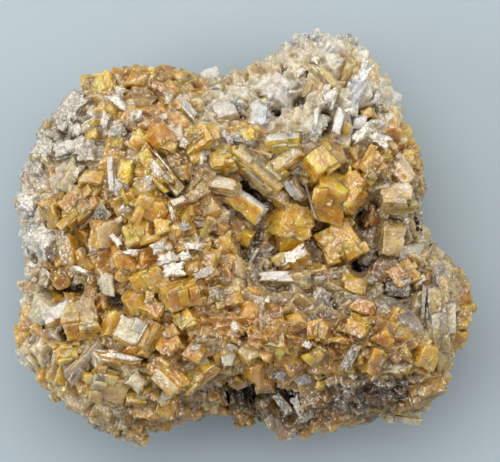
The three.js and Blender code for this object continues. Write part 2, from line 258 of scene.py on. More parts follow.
NOTCH_OUTLINE = np.array([
    (-2.5, -22), (2.5, -21), (7, -22), (9.5, -25), (10, -30), (7, -34), (1, -34), (-3, -31),
    (-3.5, -26),
])  # fmt: skip

RELIEF = (
    Swell(-12, 15, 9, 5, -45, 2.5),  # upper ridge
    Swell(-10.5, 0, 12, 5.5, 95, 3.8),  # middle ridge
    Swell(3, -14, 13, 5, -8, 4.5),  # lower ridge
    Swell(21, -16, 9, 5, -15, 3.5),  # lower right ridge
    Swell(-18, -21, 8, 5, 20, 2),  # lower left swell
    Swell(-26, 4, 6, 4, 5, 1.5),  # left bench
    Swell(-27.5, -8, 4, 2.6, 0, -3.5),  # left pit
    Swell(11.5, 0, 14, 8.5, -10, -9),  # vug
    Swell(24, 6, 4, 5, 90, 2),  # right shelf
    Swell(12, 23, 6, 7, 0, 1.5),  # peak
    Swell(3, -26, 6, 6, 0, -7),  # notch
)

# Holes between crystals, which show dark by their depth and by painted shade that deepens with it:
# x, y, half-length, half-width, turn, depth.
HOLES = (
    (-17.4, 22.4, 0.5, 0.7, 0, 2.0), (-13.4, 20.2, 0.5, 0.6, 0, 2.0),
    (-6.9, 24.2, 0.4, 0.4, 0, 1.4), (-4.3, 23.0, 0.5, 0.4, 0, 1.6), (5.7, 25.0, 0.6, 0.5, 0, 1.6),
    (2.3, 21.2, 0.5, 0.4, 0, 1.8), (7.9, 20.5, 1.1, 0.7, 35, 1.7), (4.5, 18.8, 0.7, 0.5, -20, 2.0),
    (11.8, 17.1, 1.9, 1.1, 80, 2.3), (18.6, 18.6, 1.5, 1.1, 40, 2.0),
    (23.1, 9.0, 1.2, 0.7, -10, 2.2), (6.1, 13.2, 0.6, 0.5, 0, 2.0), (1.2, 6.7, 2.5, 0.9, -42, 2.2),
    (-3.1, 4.5, 0.4, 0.5, 0, 1.6), (18.1, 3.3, 1.2, 1.5, 0, 2.0), (17.6, -3.8, 1.5, 1.3, 0, 1.9),
    (21.8, -8.2, 1.7, 1.1, -15, 2.2), (26.2, 2.5, 0.8, 1.1, 0, 1.8),
    (-26.8, -7.5, 2.2, 1.2, 0, 2.2), (-21.8, -7.3, 0.9, 0.7, 0, 2.0),
    (-19.5, -9.5, 1.1, 1.2, 0, 2.2), (-27.6, -14.5, 0.6, 1.3, 0, 2.2),
    (-14.1, -17.5, 1.5, 1.2, 0, 2.3), (-0.2, -14.6, 0.5, 0.6, 0, 2.0),
    (-22.7, 2.0, 0.7, 0.5, 0, 2.0), (2.5, -23.4, 5.2, 1.9, -4, 2.2),
    (-5.4, -9.0, 0.8, 0.5, 30, 1.8), (12.6, -10.4, 1.0, 0.6, 20, 1.8),
    (-11.0, 6.6, 0.8, 0.6, -30, 2.0), (-30.8, 9.8, 0.9, 0.5, 60, 2.0),
    (0.6, -1.6, 1.7, 3.0, 0, 1.3), (6.4, -11.9, 0.8, 0.5, 0, 1.8),
    (-23.5, -20.6, 1.0, 0.6, 40, 2.0), (26.3, -13.4, 0.5, 0.4, 0, 1.6),
)  # fmt: skip

LIP = Swell(22.8, -11.8, 5.2, 1.7, -40, 1.5)  # smooth grey lip below the vug

# Patches where the crystals' colours are darkened (rise above 0) or lightened (below 0); those
# along the lower edge and in the notch are painted shade.
DARKENING_PATCHES = tuple(Swell(*row) for row in (
    (11, -14, 14, 5.5, -8, 0.2), (29, -7, 6, 9, 0, 0.02), (-27, 17.5, 8, 6, 45, 0.16),
    (3, -26, 7, 5, 0, 0.25), (19, -24.5, 12, 3.5, 5, 0.64), (3, -29, 7, 3, 0, 0.34),
    (-17, -28.5, 6, 4, 0, 0.44), (12, 24, 8, 8, 0, -0.1), (7, 27.5, 5, 4, 0, 0.22),
    (20, 27, 4, 4, 0, -0.16), (6.5, 14.8, 4, 3, 0, -0.1), (-13, 22, 6, 4, 0, 0.14),
    (-8, 9.6, 4, 3, 0, 0.12), (3.5, 16.5, 4.5, 5, 0, -0.2), (18.5, 19.5, 4, 3, 0, -0.25),
    (-15.5, 24, 7, 3.5, 0, 0.22), (-18.2, 9.8, 3, 3, 0, -0.5), (-3.4, 5, 3, 3, 0, -0.24),
    (-24, 5.5, 5, 4, 0, 0.34), (-33, -9.5, 4, 4, 0, 0.22), (-3.4, -9.6, 3, 3, 0, 0.4),
    (-23.5, -9.6, 3, 2.5, 0, 0.24), (-13.5, -10, 3, 3, 0, 0.2), (-14, -17.5, 4, 5, 0, 0.2),
    (1.5, -14.8, 4, 3, 0, -0.34), (5, -20, 4, 2.5, 0, -0.42), (-23.5, 20.5, 4, 3, 0, -0.2),
    (1.5, 0.5, 3, 3, 0, -0.2), (19, -5.5, 5, 3, 0, 0.32), (26.5, 1, 3, 6, 0, -0.2),
    (22, -9.5, 4, 4, 0, 0.24), (23, 10, 5, 4, 0, 0.3), (21.5, -19, 4, 3, 0, 0.16),
    (31, -14.5, 3, 3.5, 0, 0.4), (14, -13.5, 5, 3, 0, 0.14), (26, -14.8, 2.5, 3, 0, -0.3),
))  # fmt: skip


def patch_shade(x: Array, y: Array) -> Array:
    """Tell what part of their brightness the painted patches leave the crystals at each place."""
    return 1 - sum(swell.at(x, y) for swell in DARKENING_PATCHES)


def lip_share(x: Array, y: Array) -> Array:
    """Tell how far each place lies on the smooth lip: 1 on it, falling to 0 along its border."""
    return np.clip(3 * LIP.at(x, y) / LIP.rise - 1, 0, 1)


def inside(outline: Array, x: Array, y: Array) -> Array:
    """Tell which places lie in a closed outline: a ray to the right crosses it an odd number of times.

    Args:
        outline: Corners of the outline.
        x: Places across.
        y: Places up the plan.

    Returns:
        True where a place is inside.
    """
    ax, ay = outline[:, 0], outline[:, 1]
    bx, by = np.roll(ax, -1), np.roll(ay, -1)
    px, py = np.asarray(x)[..., None], np.asarray(y)[..., None]
    rise = np.where(by == ay, 1e-9, by - ay)
    crossing = ((ay > py) != (by > py)) & (px < ax + (py - ay) / rise * (bx - ax))
    return crossing.sum(axis=-1) % 2 == 1


@dataclass(frozen=True)
class SpecimenForm:
    """The specimen's main shape, which its rock, crust and crystals all follow. Sizes in mm."""

    rim_height: float = 12.0
    crown_rise: float = 13.0
    shoulder_power: float = 3.4
    crust_inset: float = 1.2
    crust_thickness: float = 2.6
    lip_height: float = 9.0
    lip_wave: float = 1.6
    rock_inset: float = 1.7
    clearance: float = 0.3
    covered_way: float = 0.2  # part of the way along the rock that the crust covers
    resting_spread: float = 0.55
    underside_power: float = 2.1
    break_depth: float = 2.4
    crown_way: float = 0.8  # part of the way along the skin that crosses the crown
    side_bulge: float = 0.9

    def rim_radius(self, angle: Array) -> Array:
        """Work out the distance to the outline, which runs evenly from corner to corner in angle.

        Args:
            angle: Directions in plan, in radians.

        Returns:
            The distances from the middle.
        """
        corner = np.arctan2(OUTLINE[:, 1], OUTLINE[:, 0])
        order = np.argsort(corner)
        reach = np.hypot(OUTLINE[order, 0], OUTLINE[order, 1])
        return np.interp(angle, corner[order], reach, period=2 * np.pi)

    def crown(self, x: Array, y: Array) -> Array:
        """Work out the crust's height: rim + rise * sqrt(1 - spread^power), with the swells added.

        Args:
            x: Places across.
            y: Places up the plan.

        Returns:
            Its height at each place.
        """
        spread = np.minimum(np.hypot(x, y) / self.rim_radius(np.arctan2(y, x)), 1)
        dome = self.rim_height + self.crown_rise * np.sqrt(1 - spread**self.shoulder_power)
        return dome + sum(swell.at(x, y) for swell in RELIEF)

    def break_step(self, x: Array, y: Array, z: Array) -> Array:
        """Uneven steps of broken rock, about -1 to 1: two wave patterns, 20 and 9 mm across."""
        coarse = np.sin(0.31 * x + 0.17 * z) * np.cos(0.27 * y - 0.4 + 0.1 * z)
        return 0.65 * coarse + 0.35 * np.sin(0.7 * y + 0.3 * x + 1) * np.cos(0.66 * x - 0.2 * y)

    def skin(self, angle: Array, way: Array, drop: float = 0.0) -> Array:
        """Give places on the crust's skin, or on one like it `drop` millimetres further in.

        Up to `crown_way` the way runs over the crown from its middle, with the radius going as the
        sine of the way so that places crowd towards the rim. From there it runs down the side, which
        bulges by a half sine, to the wavy lip.

        Args:
            angle: Direction in plan.
            way: 0 in the middle of the crown and 1 at the lip.
            drop: How far inside the skin.

        Returns:
            Points, with x, y and z in the last axis.
        """
        over = np.minimum(way / self.crown_way, 1)
        down = np.maximum(way - self.crown_way, 0) / (1 - self.crown_way)
        reach = self.rim_radius(angle) - self.crust_inset - drop
        radius = np.sin(over * np.pi / 2) * reach
        top = self.crown(radius * np.cos(angle), radius * np.sin(angle)) - drop
        radius = radius + self.side_bulge * np.sin(np.pi * down)
        x, y = radius * np.cos(angle), radius * np.sin(angle)
        lip = self.lip_height + self.lip_wave * self.break_step(2 * x, 2 * y, 0 * x)
        return np.stack([x, y, top + (lip - top) * down], axis=-1)

    def rock(self, angle: Array, way: Array) -> Array:
        """Give places on the host rock.

        Up to covered_way the way crosses its covered top. The rest comes back under it: the
        broken underside climbs as rim * climb^power with steps in it, and is flat in the middle.

        Args:
            angle: Direction in plan.
            way: 0 in the middle of the top and 1 in the middle of the underside.

        Returns:
            Points, with x, y and z in the last axis.
        """
        inset = self.crust_inset + self.rock_inset
        drop = self.crust_thickness + self.clearance
        reach = self.rim_radius(angle) - inset
        rim = self.crown(reach * np.cos(angle), reach * np.sin(angle)) - drop
        top = way < self.covered_way
        over = np.minimum(way / self.covered_way, 1)
        under = ramp(way, self.covered_way, 1 - self.covered_way)
        spread = np.where(top, np.sin(over * np.pi / 2), np.cos(under * np.pi / 2) ** 0.8)
        x, y = spread * reach * np.cos(angle), spread * reach * np.sin(angle)
        climb = np.maximum(spread - self.resting_spread, 0) / (1 - self.resting_spread)
        step = self.break_depth * self.break_step(x, y, rim) * np.sin(np.pi * climb)
        low = np.maximum(rim * climb**self.underside_power + step, 0)
        return np.stack([x, y, np.where(top, self.crown(x, y) - drop, low)], axis=-1)


FORM = SpecimenForm()


def hole_depth(x: Array, y: Array) -> Array:
    """Work out how deep the holes between crystals are: the most of depth * exp(-(r^2)^2).

    Args:
        x: Places across.
        y: Places up the plan.

    Returns:
        The depth at each place; r is the way from a hole's middle in its half-sizes.
    """
    depth = np.zeros(np.shape(x))
    for hx, hy, along, across, turn, deep in HOLES:
        square = -np.log(np.maximum(Swell(hx, hy, along, across, turn, 1.0).at(x, y), TINY))
        depth = np.maximum(depth, deep * np.exp(-(square**2)))
    return depth


# ---------------------------------------------------------------- mesh arrays


@dataclass
class Shell:
    """Triangles in millimetres, with a linear colour to a point and a finish to a triangle.

    The growth layer of a point is the height in mm along its crystal's short axis, in which it
    grew. What has no growth layers is all one.
    """

    points: Array
    triangles: Array
    colours: Array
    finish: Array
    layer: Array | None = None

    def __post_init__(self) -> None:
        """Make all one layer where none are given."""
        if self.layer is None:
            self.layer = np.zeros(len(self.points))

    @staticmethod
    def joined(shells: list[Shell]) -> Shell:
        """Put several shells one after the other, with their triangles renumbered.

        Args:
            shells: The shells, in order.

        Returns:
            One shell.
        """
        starts = np.cumsum([0] + [len(shell.points) for shell in shells[:-1]])
        return Shell(
            np.concatenate([shell.points for shell in shells]),
            np.concatenate([shell.triangles + start for shell, start in zip(shells, starts)]),
            np.concatenate([shell.colours for shell in shells]),
            np.concatenate([shell.finish for shell in shells]),
            np.concatenate([shell.layer for shell in shells]),
        )

    def piece(self, name: str, node: str, slot: str, materials: list[Material]) -> bpy.types.Object:
        """Make the shell a Blender object that rides on the body and stands for a node.

        Args:
            name: The piece's name.
            node: The CAD node it stands for.
            slot: The record's material slot; not used.
            materials: Its materials, in the order of the finishes.

        Returns:
            The object.
        """
        mesh = bpy.data.meshes.new(name)
        count = len(self.triangles)
        mesh.vertices.add(len(self.points))
        mesh.vertices.foreach_set("co", ((self.points + OUTLINE_SHIFT) * MM).ravel())
        mesh.loops.add(3 * count)
        mesh.loops.foreach_set("vertex_index", self.triangles.astype(np.int32).ravel())
        mesh.polygons.add(count)
        mesh.polygons.foreach_set("loop_start", np.arange(0, 3 * count, 3, dtype=np.int32))
        mesh.polygons.foreach_set("material_index", self.finish.astype(np.int32))
        mesh.update(calc_edges=True)
        colours = np.column_stack([np.clip(self.colours, 0, 1), np.ones(len(self.points))])
        mesh.attributes.new("tint", "FLOAT_COLOR", "POINT").data.foreach_set("color", colours.ravel())
        mesh.attributes.new("layer", "FLOAT", "POINT").data.foreach_set("value", self.layer)
        for material in materials:
            mesh.materials.append(material)
        piece = bpy.data.objects.new(name, mesh)
        bpy.context.scene.collection.objects.link(piece)
        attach(piece, BODY)
        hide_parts(node)
        log.info("%s: %d triangles", name, count)
        return piece


def polar_grid(columns: int, ways: Array) -> tuple[Array, Array, Array]:
    """Cut a skin into triangles round a pole: angle and way of each point, and the triangles.

    Args:
        columns: Points round each ring.
        ways: The way of each ring, outwards from the pole.

    Returns:
        Angles, ways and triangles, with the pole first among the points.
    """
    turn = np.arange(columns) * 2 * np.pi / columns - np.pi
    angle = np.concatenate([[0.0], np.tile(turn, len(ways))])
    way = np.concatenate([[0.0], np.repeat(ways, columns)])
    here = np.arange(columns)
    after = (here + 1) % columns
    fan = np.column_stack([np.zeros(columns, int), 1 + here, 1 + after])
    start = 1 + columns * np.arange(len(ways) - 1)[:, None]
    a, b = (start + here).ravel(), (start + after).ravel()
    c, d = a + columns, b + columns
    return angle, way, np.concatenate([fan, np.column_stack([a, c, d]), np.column_stack([a, d, b])])


def normals(points: Array, triangles: Array) -> tuple[Array, Array]:
    """Work out unit normals and areas of triangles, from the cross product of two sides.

    Args:
        points: The corners' places.
        triangles: Three corners to a row.

    Returns:
        Normals and areas.
    """
    a, b, c = (points[triangles[:, k]] for k in range(3))
    cross = np.cross(b - a, c - a)
    length = np.linalg.norm(cross, axis=1)
    return cross / np.maximum(length, TINY)[:, None], length / 2


def point_normals(points: Array, triangles: Array) -> Array:
    """Average the normals of the triangles round each point, by their areas.

    Args:
        points: The corners' places.
        triangles: Three corners to a row.

    Returns:
        One unit normal to a point.
    """
    facing, area = normals(points, triangles)
    total = np.zeros_like(points)
    for k in range(3):
        np.add.at(total, triangles[:, k], facing * area[:, None])
    return total / np.maximum(np.linalg.norm(total, axis=1), TINY)[:, None]


def thickened(outer: Array, inner: Array, triangles: Array) -> tuple[Array, Array, Array]:
    """Close a sheet: its outer face, its inner face turned round, and a wall along every free edge.

    Args:
        outer: Points of the outer face.
        inner: The same points on the inner face.
        triangles: Triangles of the outer face that are kept.

    Returns:
        Points and triangles of the closed sheet, with unused points left out, and the grid point
        that each of its points came from.
    """
    sides = np.concatenate([triangles[:, [0, 1]], triangles[:, [1, 2]], triangles[:, [2, 0]]])
    key = np.sort(sides, axis=1) @ np.array([len(outer), 1])
    _, first, count = np.unique(key, return_index=True, return_counts=True)
    a, b = sides[first[count == 1]].T
    lower = len(outer)
    wall = np.concatenate([
        np.column_stack([b, a, a + lower]),
        np.column_stack([b, a + lower, b + lower]),
    ])
    faces = np.concatenate([triangles, triangles[:, ::-1] + lower, wall])
    used, index = np.unique(faces, return_inverse=True)
    return np.concatenate([outer, inner])[used], index.reshape(faces.shape), used % lower


# ---------------------------------------------------------------- crystals


def block(steps: Array) -> tuple[Array, Array]:
    """Cut a cube's surface from -1 to 1 at the same steps along every edge.

    Each face is a grid of the two parameters along its edges, and points that faces share are merged.

    Args:
        steps: Places of the cuts, from -1 to 1.

    Returns:
        Points and outward triangles.
    """
    count = len(steps)
    first, second = np.meshgrid(steps, steps, indexing="ij")
    corner = (np.arange(count - 1)[:, None] * count + np.arange(count - 1)).ravel()
    quad = np.column_stack([corner, corner + count, corner + count + 1, corner + 1])
    faces, quads = [], []
    for axis, sign in product(range(3), (-1, 1)):
        face = np.empty((count * count, 3))
        face[:, axis] = sign
        face[:, (axis + 1) % 3] = first.ravel()
        face[:, (axis + 2) % 3] = second.ravel()
        quads.append(quad[:, ::sign] + len(faces) * count * count)
        faces.append(face)
    points, index = np.unique(np.concatenate(faces).round(6), axis=0, return_inverse=True)
    quads = index.ravel()[np.concatenate(quads)]
    return points, np.concatenate([quads[:, [0, 1, 2]], quads[:, [0, 2, 3]]])


def chamfered_block(cut: float) -> tuple[Array, Array]:
    """A cube from -1 to 1 with its edges and corners cut flat.

    Each corner of each face is its own point, drawn in by the cut along the face. Six squares,
    twelve strips and eight triangles join them.

    Args:
        cut: How much the cut takes, as a part of half an edge.

    Returns:
        Points and outward triangles.
    """
    signs = np.array(list(product((-1.0, 1.0), repeat=3)))
    points = np.concatenate([np.where(np.arange(3) == k, signs, signs * (1 - cut)) for k in range(3)])
    weight = (4, 2, 1)
    quads = []
    for axis in range(3):
        one, two = weight[(axis + 1) % 3], weight[(axis + 2) % 3]
        left, right = 8 * ((axis + 1) % 3), 8 * ((axis + 2) % 3)
        for base in (0, weight[axis]):
            quads.append([8 * axis + base + step for step in (0, one, one + two, two)])
        for base in (0, one, two, one + two):
            far = base + weight[axis]
            quads.append([left + base, left + far, right + far, right + base])
    quads = np.array(quads)
    tips = np.column_stack([np.arange(8), np.arange(8, 16), np.arange(16, 24)])
    triangles = np.concatenate([quads[:, [0, 1, 2]], quads[:, [0, 2, 3]], tips])
    facing, _ = normals(points, triangles)
    inward = (facing * points[triangles].mean(axis=1)).sum(axis=1) < 0
    triangles[inward] = triangles[inward, ::-1]
    return points, triangles


def spin(axis: int, degrees: Array) -> Array:
    """Make rotation matrices about one axis.

    Args:
        axis: 0 for x, 1 for y and 2 for z.
        degrees: The angles.

    Returns:
        One matrix to an angle.
    """
    angle = np.radians(np.atleast_1d(degrees).astype(float))
    turn = np.zeros((len(angle), 3, 3))
    a, b = (axis + 1) % 3, (axis + 2) % 3
    turn[:, axis, axis] = 1
    turn[:, a, a] = turn[:, b, b] = np.cos(angle)
    turn[:, b, a] = np.sin(angle)
    turn[:, a, b] = -np.sin(angle)
    return turn


def attitude(turn: Array, tip: Array, roll: Array) -> Array:
    """Roll a crystal about its length, raise its far end by the tip, and turn it about +Z."""
    return spin(2, turn) @ spin(1, -np.asarray(tip)) @ spin(0, roll)


def standing(normal: Array) -> Array:
    """Rotations that carry +Z to each normal by the shortest way: 1 + [v] + [v]^2 / (1 + c).

    Args:
        normal: Unit normals, none of them straight down.

    Returns:
        One matrix to a normal; v is z cross normal, [v] its cross matrix and c its z part.
    """
    x, y, z = normal.T
    cross = np.zeros((len(normal), 3, 3))
    cross[:, 0, 2], cross[:, 2, 0] = x, -x
    cross[:, 1, 2], cross[:, 2, 1] = y, -y
    return np.eye(3) + cross + cross @ cross / (1 + np.maximum(z, -0.95))[:, None, None]


@dataclass
class Crystals:
    """Crystals as arrays, one row to a crystal: middles, half sizes, attitudes, colours, finishes."""

    middle: Array
    half: Array
    attitude: Array
    cap: Array
    side: Array
    finish: Array

    def __len__(self) -> int:
        """Count the crystals."""
        return len(self.middle)

    def only(self, keep: Array) -> Crystals:
        """Give the crystals that a mask or an index keeps."""
        kept = (getattr(self, name) for name in self.__dataclass_fields__)
        return Crystals(*(values[keep] for values in kept))

    @staticmethod
    def joined(groups: list[Crystals]) -> Crystals:
        """Put several groups of crystals one after the other."""
        names = Crystals.__dataclass_fields__
        return Crystals(*(np.concatenate([getattr(group, name) for group in groups]) for name in names))

    def within_box(self, margin: float) -> Crystals:
        """Keep the crystals that stand no further than a margin out of the solid model's box.

        A crystal reaches sum(|attitude| * half) from its middle along each axis.

        Args:
            margin: The margin in millimetres.

        Returns:
            The crystals that are kept.
        """
        reach = np.einsum("nij,nj->ni", np.abs(self.attitude), self.half)
        low, high = (np.array(corner) / MM - OUTLINE_SHIFT for corner in CAD_BOX)
        fits = (self.middle - reach > low - margin) & (self.middle + reach < high + margin)
        return self.only(fits.all(axis=1))

    def hold(self, places: Array, share: float) -> Array:
        """Tell which places lie inside any crystal shrunk to a share of its size.

        Args:
            places: Points in millimetres.
            share: The share.

        Returns:
            True where a place is inside.
        """
        held = np.zeros(len(places), bool)
        for middle, half, turn in zip(self.middle, self.half, self.attitude):
            held |= (np.abs((places - middle) @ turn) < share * half).all(axis=1)
        return held


TABLET_FIELDS = 9  # numbers in a row before its tones


def placed_crystals(rows: tuple) -> Crystals:
    """Set listed crystals into the crust where they grow.

    Args:
        rows: x, y, length, width, thickness, turn, tip, roll and lift of each, the tones of its
            broad faces and of its sides, and its finish.

    Returns:
        The crystals, their middles above the crown by the lift.
    """
    size = np.array([row[:TABLET_FIELDS] for row in rows], float)
    x, y = size[:, 0], size[:, 1]
    cap, side = ([TONE_INDEX[row[TABLET_FIELDS + k]] for row in rows] for k in (0, 1))
    return Crystals(
        np.column_stack([x, y, FORM.crown(x, y) + size[:, 8]]),
        size[:, 2:5] / 2,
        attitude(size[:, 5], size[:, 6], size[:, 7]),
        PALETTE[cap],
        PALETTE[side],
        np.array([row[TABLET_FIELDS + 2].value for row in rows]),
    )


NONE = (0.0,) * 4  # no depth on any finish
# painted shade darkens blue most, so what lies deep between crystals turns browner
SHADE_BROWNING = (1.0, 1.06, 1.3)  # powers of a shade for red, green and blue: what lies deep turns browner


@dataclass(frozen=True)
class Working:
    """How crystals' faces are worked: lengths in mm, and four values in the order of the finishes."""

    mosaic: tuple[float, ...] = (0.02, 0.10, 0.02, 0.02)
    layers: tuple[float, ...] = (0.32, 0.42, 0.46, 0.25)
    lines: tuple[float, ...] = (0.0, 0.0, 0.07, 0.02)
    terrace: tuple[float, ...] = (0.16, 0.2, 0.16, 0.1)
    ragged: tuple[float, ...] = (0.1, 0.18, 0.12, 0.5)  # depth of the notches round a face, as a part
    notches: float = 3.5  # to a radian
    mosaic_width: float = 0.6
    layer_width: float = 0.36
    line_width: float = 0.5
    line_stretch: float = 0.07  # how much slower the lines change along the crystal than across it
    serration: float = 0.75
    edge_power: float = 40.0
    facing_power: int = 9  # the higher, the nearer to an edge the outward direction turns
    skew: float = 0.28  # of small crystals
    large_skew: float = 0.16
    large_from: float = 2.0  # half length
    chips: int = 5
    chip_least: float = 0.62  # nearest that a chip comes to the middle, as a part of the corner's way
    large_chip_least: float = 0.74
    chip_most: float = 1.02
    taper: float = 0.12
    terrace_runs: float = 2.2  # terraces to half a face
    terraces: int = 2
    # painted highlight: how far edges turn cream in places
    edge_highlight: float = 0.3
    # painted glow of light shining through the thin edges
    edge_glow: float = 0.6  # how far golden crystals turn lemon towards their edges
    mottle: float = 0.5
    warp: float = 0.3  # how far slow waves bend a crystal
    warp_cell: float = 1.7
    bite: float = 0.42  # depth of the bites along the edges
    bite_cell: float = 0.6
    bite_from: float = 0.58  # noise value where a bite starts
    bite_slope: float = 0.2
    full_relief: float = 0.8  # least half size that carries the whole relief
    room: float = 400.0  # how far apart crystals take their noise
    # painted shade between crystals: the least brightness, deep down, and how it rises to full
    sunk_shade: float = 0.8
    sunk_depth: float = 0.4  # under the crust, where the shade is deepest
    sunk_height: float = 2.0
    side_height: float = 1.2  # how much a way out of the rim counts as height

    def ground_shade(self, points: Array) -> Array:
        """Paint shade on what lies deep between crystals.

        The shade rises evenly from sunk_shade, sunk_depth under the crust, to 1, sunk_height over
        that. On the rim's side the way outwards counts as height.

        Args:
            points: Places in millimetres.

        Returns:
            What part of its brightness each place keeps.
        """
        above = points[..., 2] - FORM.crown(points[..., 0], points[..., 1])
        side = np.hypot(points[..., 0], points[..., 1])
        rim = FORM.rim_radius(np.arctan2(points[..., 1], points[..., 0])) - FORM.crust_inset
        above = np.maximum(above, self.side_height * (side - rim))
        return self.sunk_shade + (1 - self.sunk_shade) * ramp(above, -self.sunk_depth, self.sunk_height)


# Workings of the thin plates, the middling crystals, the small ones, the sugar and the dark metal.
PLATE_WORK = Working(
    mosaic=(0.03,) * 4, terrace=NONE, skew=0.34, large_skew=0.2, chips=6, chip_least=0.42,
    large_chip_least=0.6, warp=0.15, mottle=0.3,
)  # fmt: skip
MASS_WORK = Working(skew=0.3, large_skew=0.3, chips=6, chip_least=0.45, large_chip_least=0.5)
SMALL_WORK = Working(mosaic=NONE, layers=NONE, terrace=NONE, edge_highlight=0.1, edge_glow=0.3)
SUGAR_WORK = Working(mosaic=NONE, layers=NONE, lines=NONE, terrace=NONE, skew=0.2)
METAL_WORK = Working(skew=0.35)


@dataclass
class FaceWork:
    """The working of one batch of crystals, whose points all come from one cube."""

    crystals: Crystals
    cube: Array
    working: Working
    draw: np.random.Generator

    def __post_init__(self) -> None:
        """Cut the blocks, and find what the working of their faces goes by.

        outward is the direction that a point's face looks, and second the middle one of its three
        distances from the cube's centre planes, which is 1 on an edge. place is where it takes its
        noise, and lines the height of the lines there, which run along the crystal.
        """
        outward = np.sign(self.cube) * np.abs(self.cube) ** self.working.facing_power
        self.outward = outward / np.linalg.norm(outward, axis=1)[:, None]
        self.second = np.sort(np.abs(self.cube), axis=1)[:, 1]
        self.local = self.blocks()
        room = (len(self.crystals), 1, 3)
        self.place = self.local + self.draw.uniform(0, self.working.room, room)
        stretched = self.place * (self.working.line_stretch, 1, 1)
        self.lines = facet_noise(stretched, self.working.line_width, 23)

    def depth(self, kind: str) -> Array:
        """Depth of one kind of working for each crystal, as a column."""
        return np.array(getattr(self.working, kind))[self.crystals.finish][:, None]

    def blocks(self) -> Array:
        """Cut a worn, skewed, tapered, notched and chipped block for every crystal, at its size.

        A point p of the cube is drawn in to |p| of the power norm, so that the edges stay sharp but
        worn. The eight corners are skewed at random, the upper end is drawn in by the taper, and
        stretches round the sides are notched by random depths. Random planes then chip corners off:
        what lies beyond one moves back to it.

        Returns:
            Points about each crystal's middle, in its own frame.
        """
        cube, working, draw, count = self.cube, self.working, self.draw, len(self.crystals)
        power = working.edge_power
        norm = (np.abs(cube) ** power).sum(axis=1) ** (1 / power)
        shaped = cube * (np.abs(cube).max(axis=1) / norm)[:, None]
        corners = np.array(list(product((-1, 1), repeat=3)))
        share = (1 + cube[:, None, :] * corners).prod(axis=2) / 8
        large = self.crystals.half.max(axis=1)[:, None, None] > working.large_from
        skew = draw.uniform(-1, 1, (count, 8, 3)) * np.where(large, working.large_skew, working.skew)
        local = shaped + np.einsum("vc,ncd->nvd", share, skew)
        local[..., :2] *= 1 - working.taper * (local[..., 2:] + 1) / 2
        turn = np.arctan2(cube[:, 1], cube[:, 0]) * working.notches
        stretch = np.stack([np.floor(turn), 0 * turn, 0 * turn], axis=-1)
        notch = lattice(stretch + draw.integers(0, 900, (count, 1, 1)), 17)
        notch = self.depth("ragged") * notch * np.abs(cube[:, :2]).max(axis=1) ** 3
        local[..., :2] *= 1 - notch[..., None]
        least = np.where(large, working.large_chip_least, working.chip_least)
        for _ in range(working.chips):
            plane = draw.normal(size=(count, 1, 3))
            plane /= np.linalg.norm(plane, axis=2, keepdims=True)
            reach = np.abs(plane).sum(axis=2, keepdims=True) * draw.uniform(least, working.chip_most)
            local = local - np.maximum((local * plane).sum(axis=2, keepdims=True) - reach, 0) * plane
        return local * self.crystals.half[:, None, :]

    def steps(self) -> Array:
        """Work out how far each point stands out of its face.

        The faces get a mosaic of facets, and lines along the crystal's length. The sides step in
        from layer to layer and along each layer, so that their edges are serrated. The upper face
        steps down in terraces, whose edges run parallel to two of its sides.

        Returns:
            Millimetres along the outward direction.
        """
        working, draw, count = self.working, self.draw, len(self.crystals)
        place, outward = self.place, self.outward
        along = np.where(np.abs(outward[:, 0]) > 0.7, place[..., 1], place[..., 0])
        level = np.floor(place[..., 2] / working.layer_width)
        side = np.round(outward[:, :2]) @ (3, 7) + 0 * level
        layer = lattice(np.stack([level, side, np.floor(along / working.serration)], axis=-1), 11)
        step = self.depth("mosaic") * facet_noise(place, working.mosaic_width, 37)
        step -= self.depth("layers") * layer * (1 - np.abs(outward[:, 2]))
        step += self.depth("lines") * self.lines
        corner = draw.choice([-1.0, 1.0], (count, 2, 1)) * draw.uniform(0.6, 1.3, (count, 2, 1))
        run = np.maximum(corner[:, 0] * self.cube[:, 0], corner[:, 1] * self.cube[:, 1])
        terrace = self.depth("terrace") * draw.uniform(0, 1, (count, 1)) ** 2
        down = np.clip(np.floor(run * working.terrace_runs), 0, working.terraces) / working.terraces
        return step - terrace * down * np.clip(outward[:, 2], 0, 1)

    def bites(self) -> Array:
        """Bite pieces out along the edges, where noise goes over bite_from.

        Returns:
            How deep the bite is at each point, in mm.
        """
        bite = smooth_noise(self.place, self.working.bite_cell, 67)
        bite = ramp(bite, self.working.bite_from, self.working.bite_slope)
        return self.working.bite * bite * ramp(self.second, 0.55, 0.45)

    def waves(self) -> Array:
        """Slow waves that bend the crystals, as a shift of each point, from -0.5 to 0.5."""
        cell = self.working.warp_cell
        return np.stack([smooth_noise(self.place, cell, 61 + k) for k in range(3)], axis=-1) - 0.5

    def colours(self, points: Array) -> Array:
        """Colour each point by its face, its edges and what lies over it.

        Broad faces take the cap's tone and the others the side's; these tones are partly the crystal's
        own colour and partly painted light and shade on its faces. Edges turn cream in places, a painted
        highlight, and those of golden crystals lemon, a painted glow of light through them. Noise
        mottles the faces, grooves between lines are darker, and painted patches and painted shade in the
        depth between crystals darken them.

        Args:
            points: Places in millimetres.

        Returns:
            Linear colours.
        """
        working, crystals, place, second = self.working, self.crystals, self.place, self.second
        broad = ramp(np.abs(self.outward[:, 2]), 0.55, 0.3)[:, None]
        colours = crystals.side[:, None, :] * (1 - broad) + crystals.cap[:, None, :] * broad
        # edges turn cream in places: a painted highlight
        edge = working.edge_highlight * ramp(second, 0.8, 0.2) * smooth_noise(place, 1.3, 71)
        colours = colours + edge[..., None] * (colour_of(CREAM) - colours)
        golden = np.clip(1.2 - 2.4 * colours[..., 2:] / colours[..., :1], 0, 1)
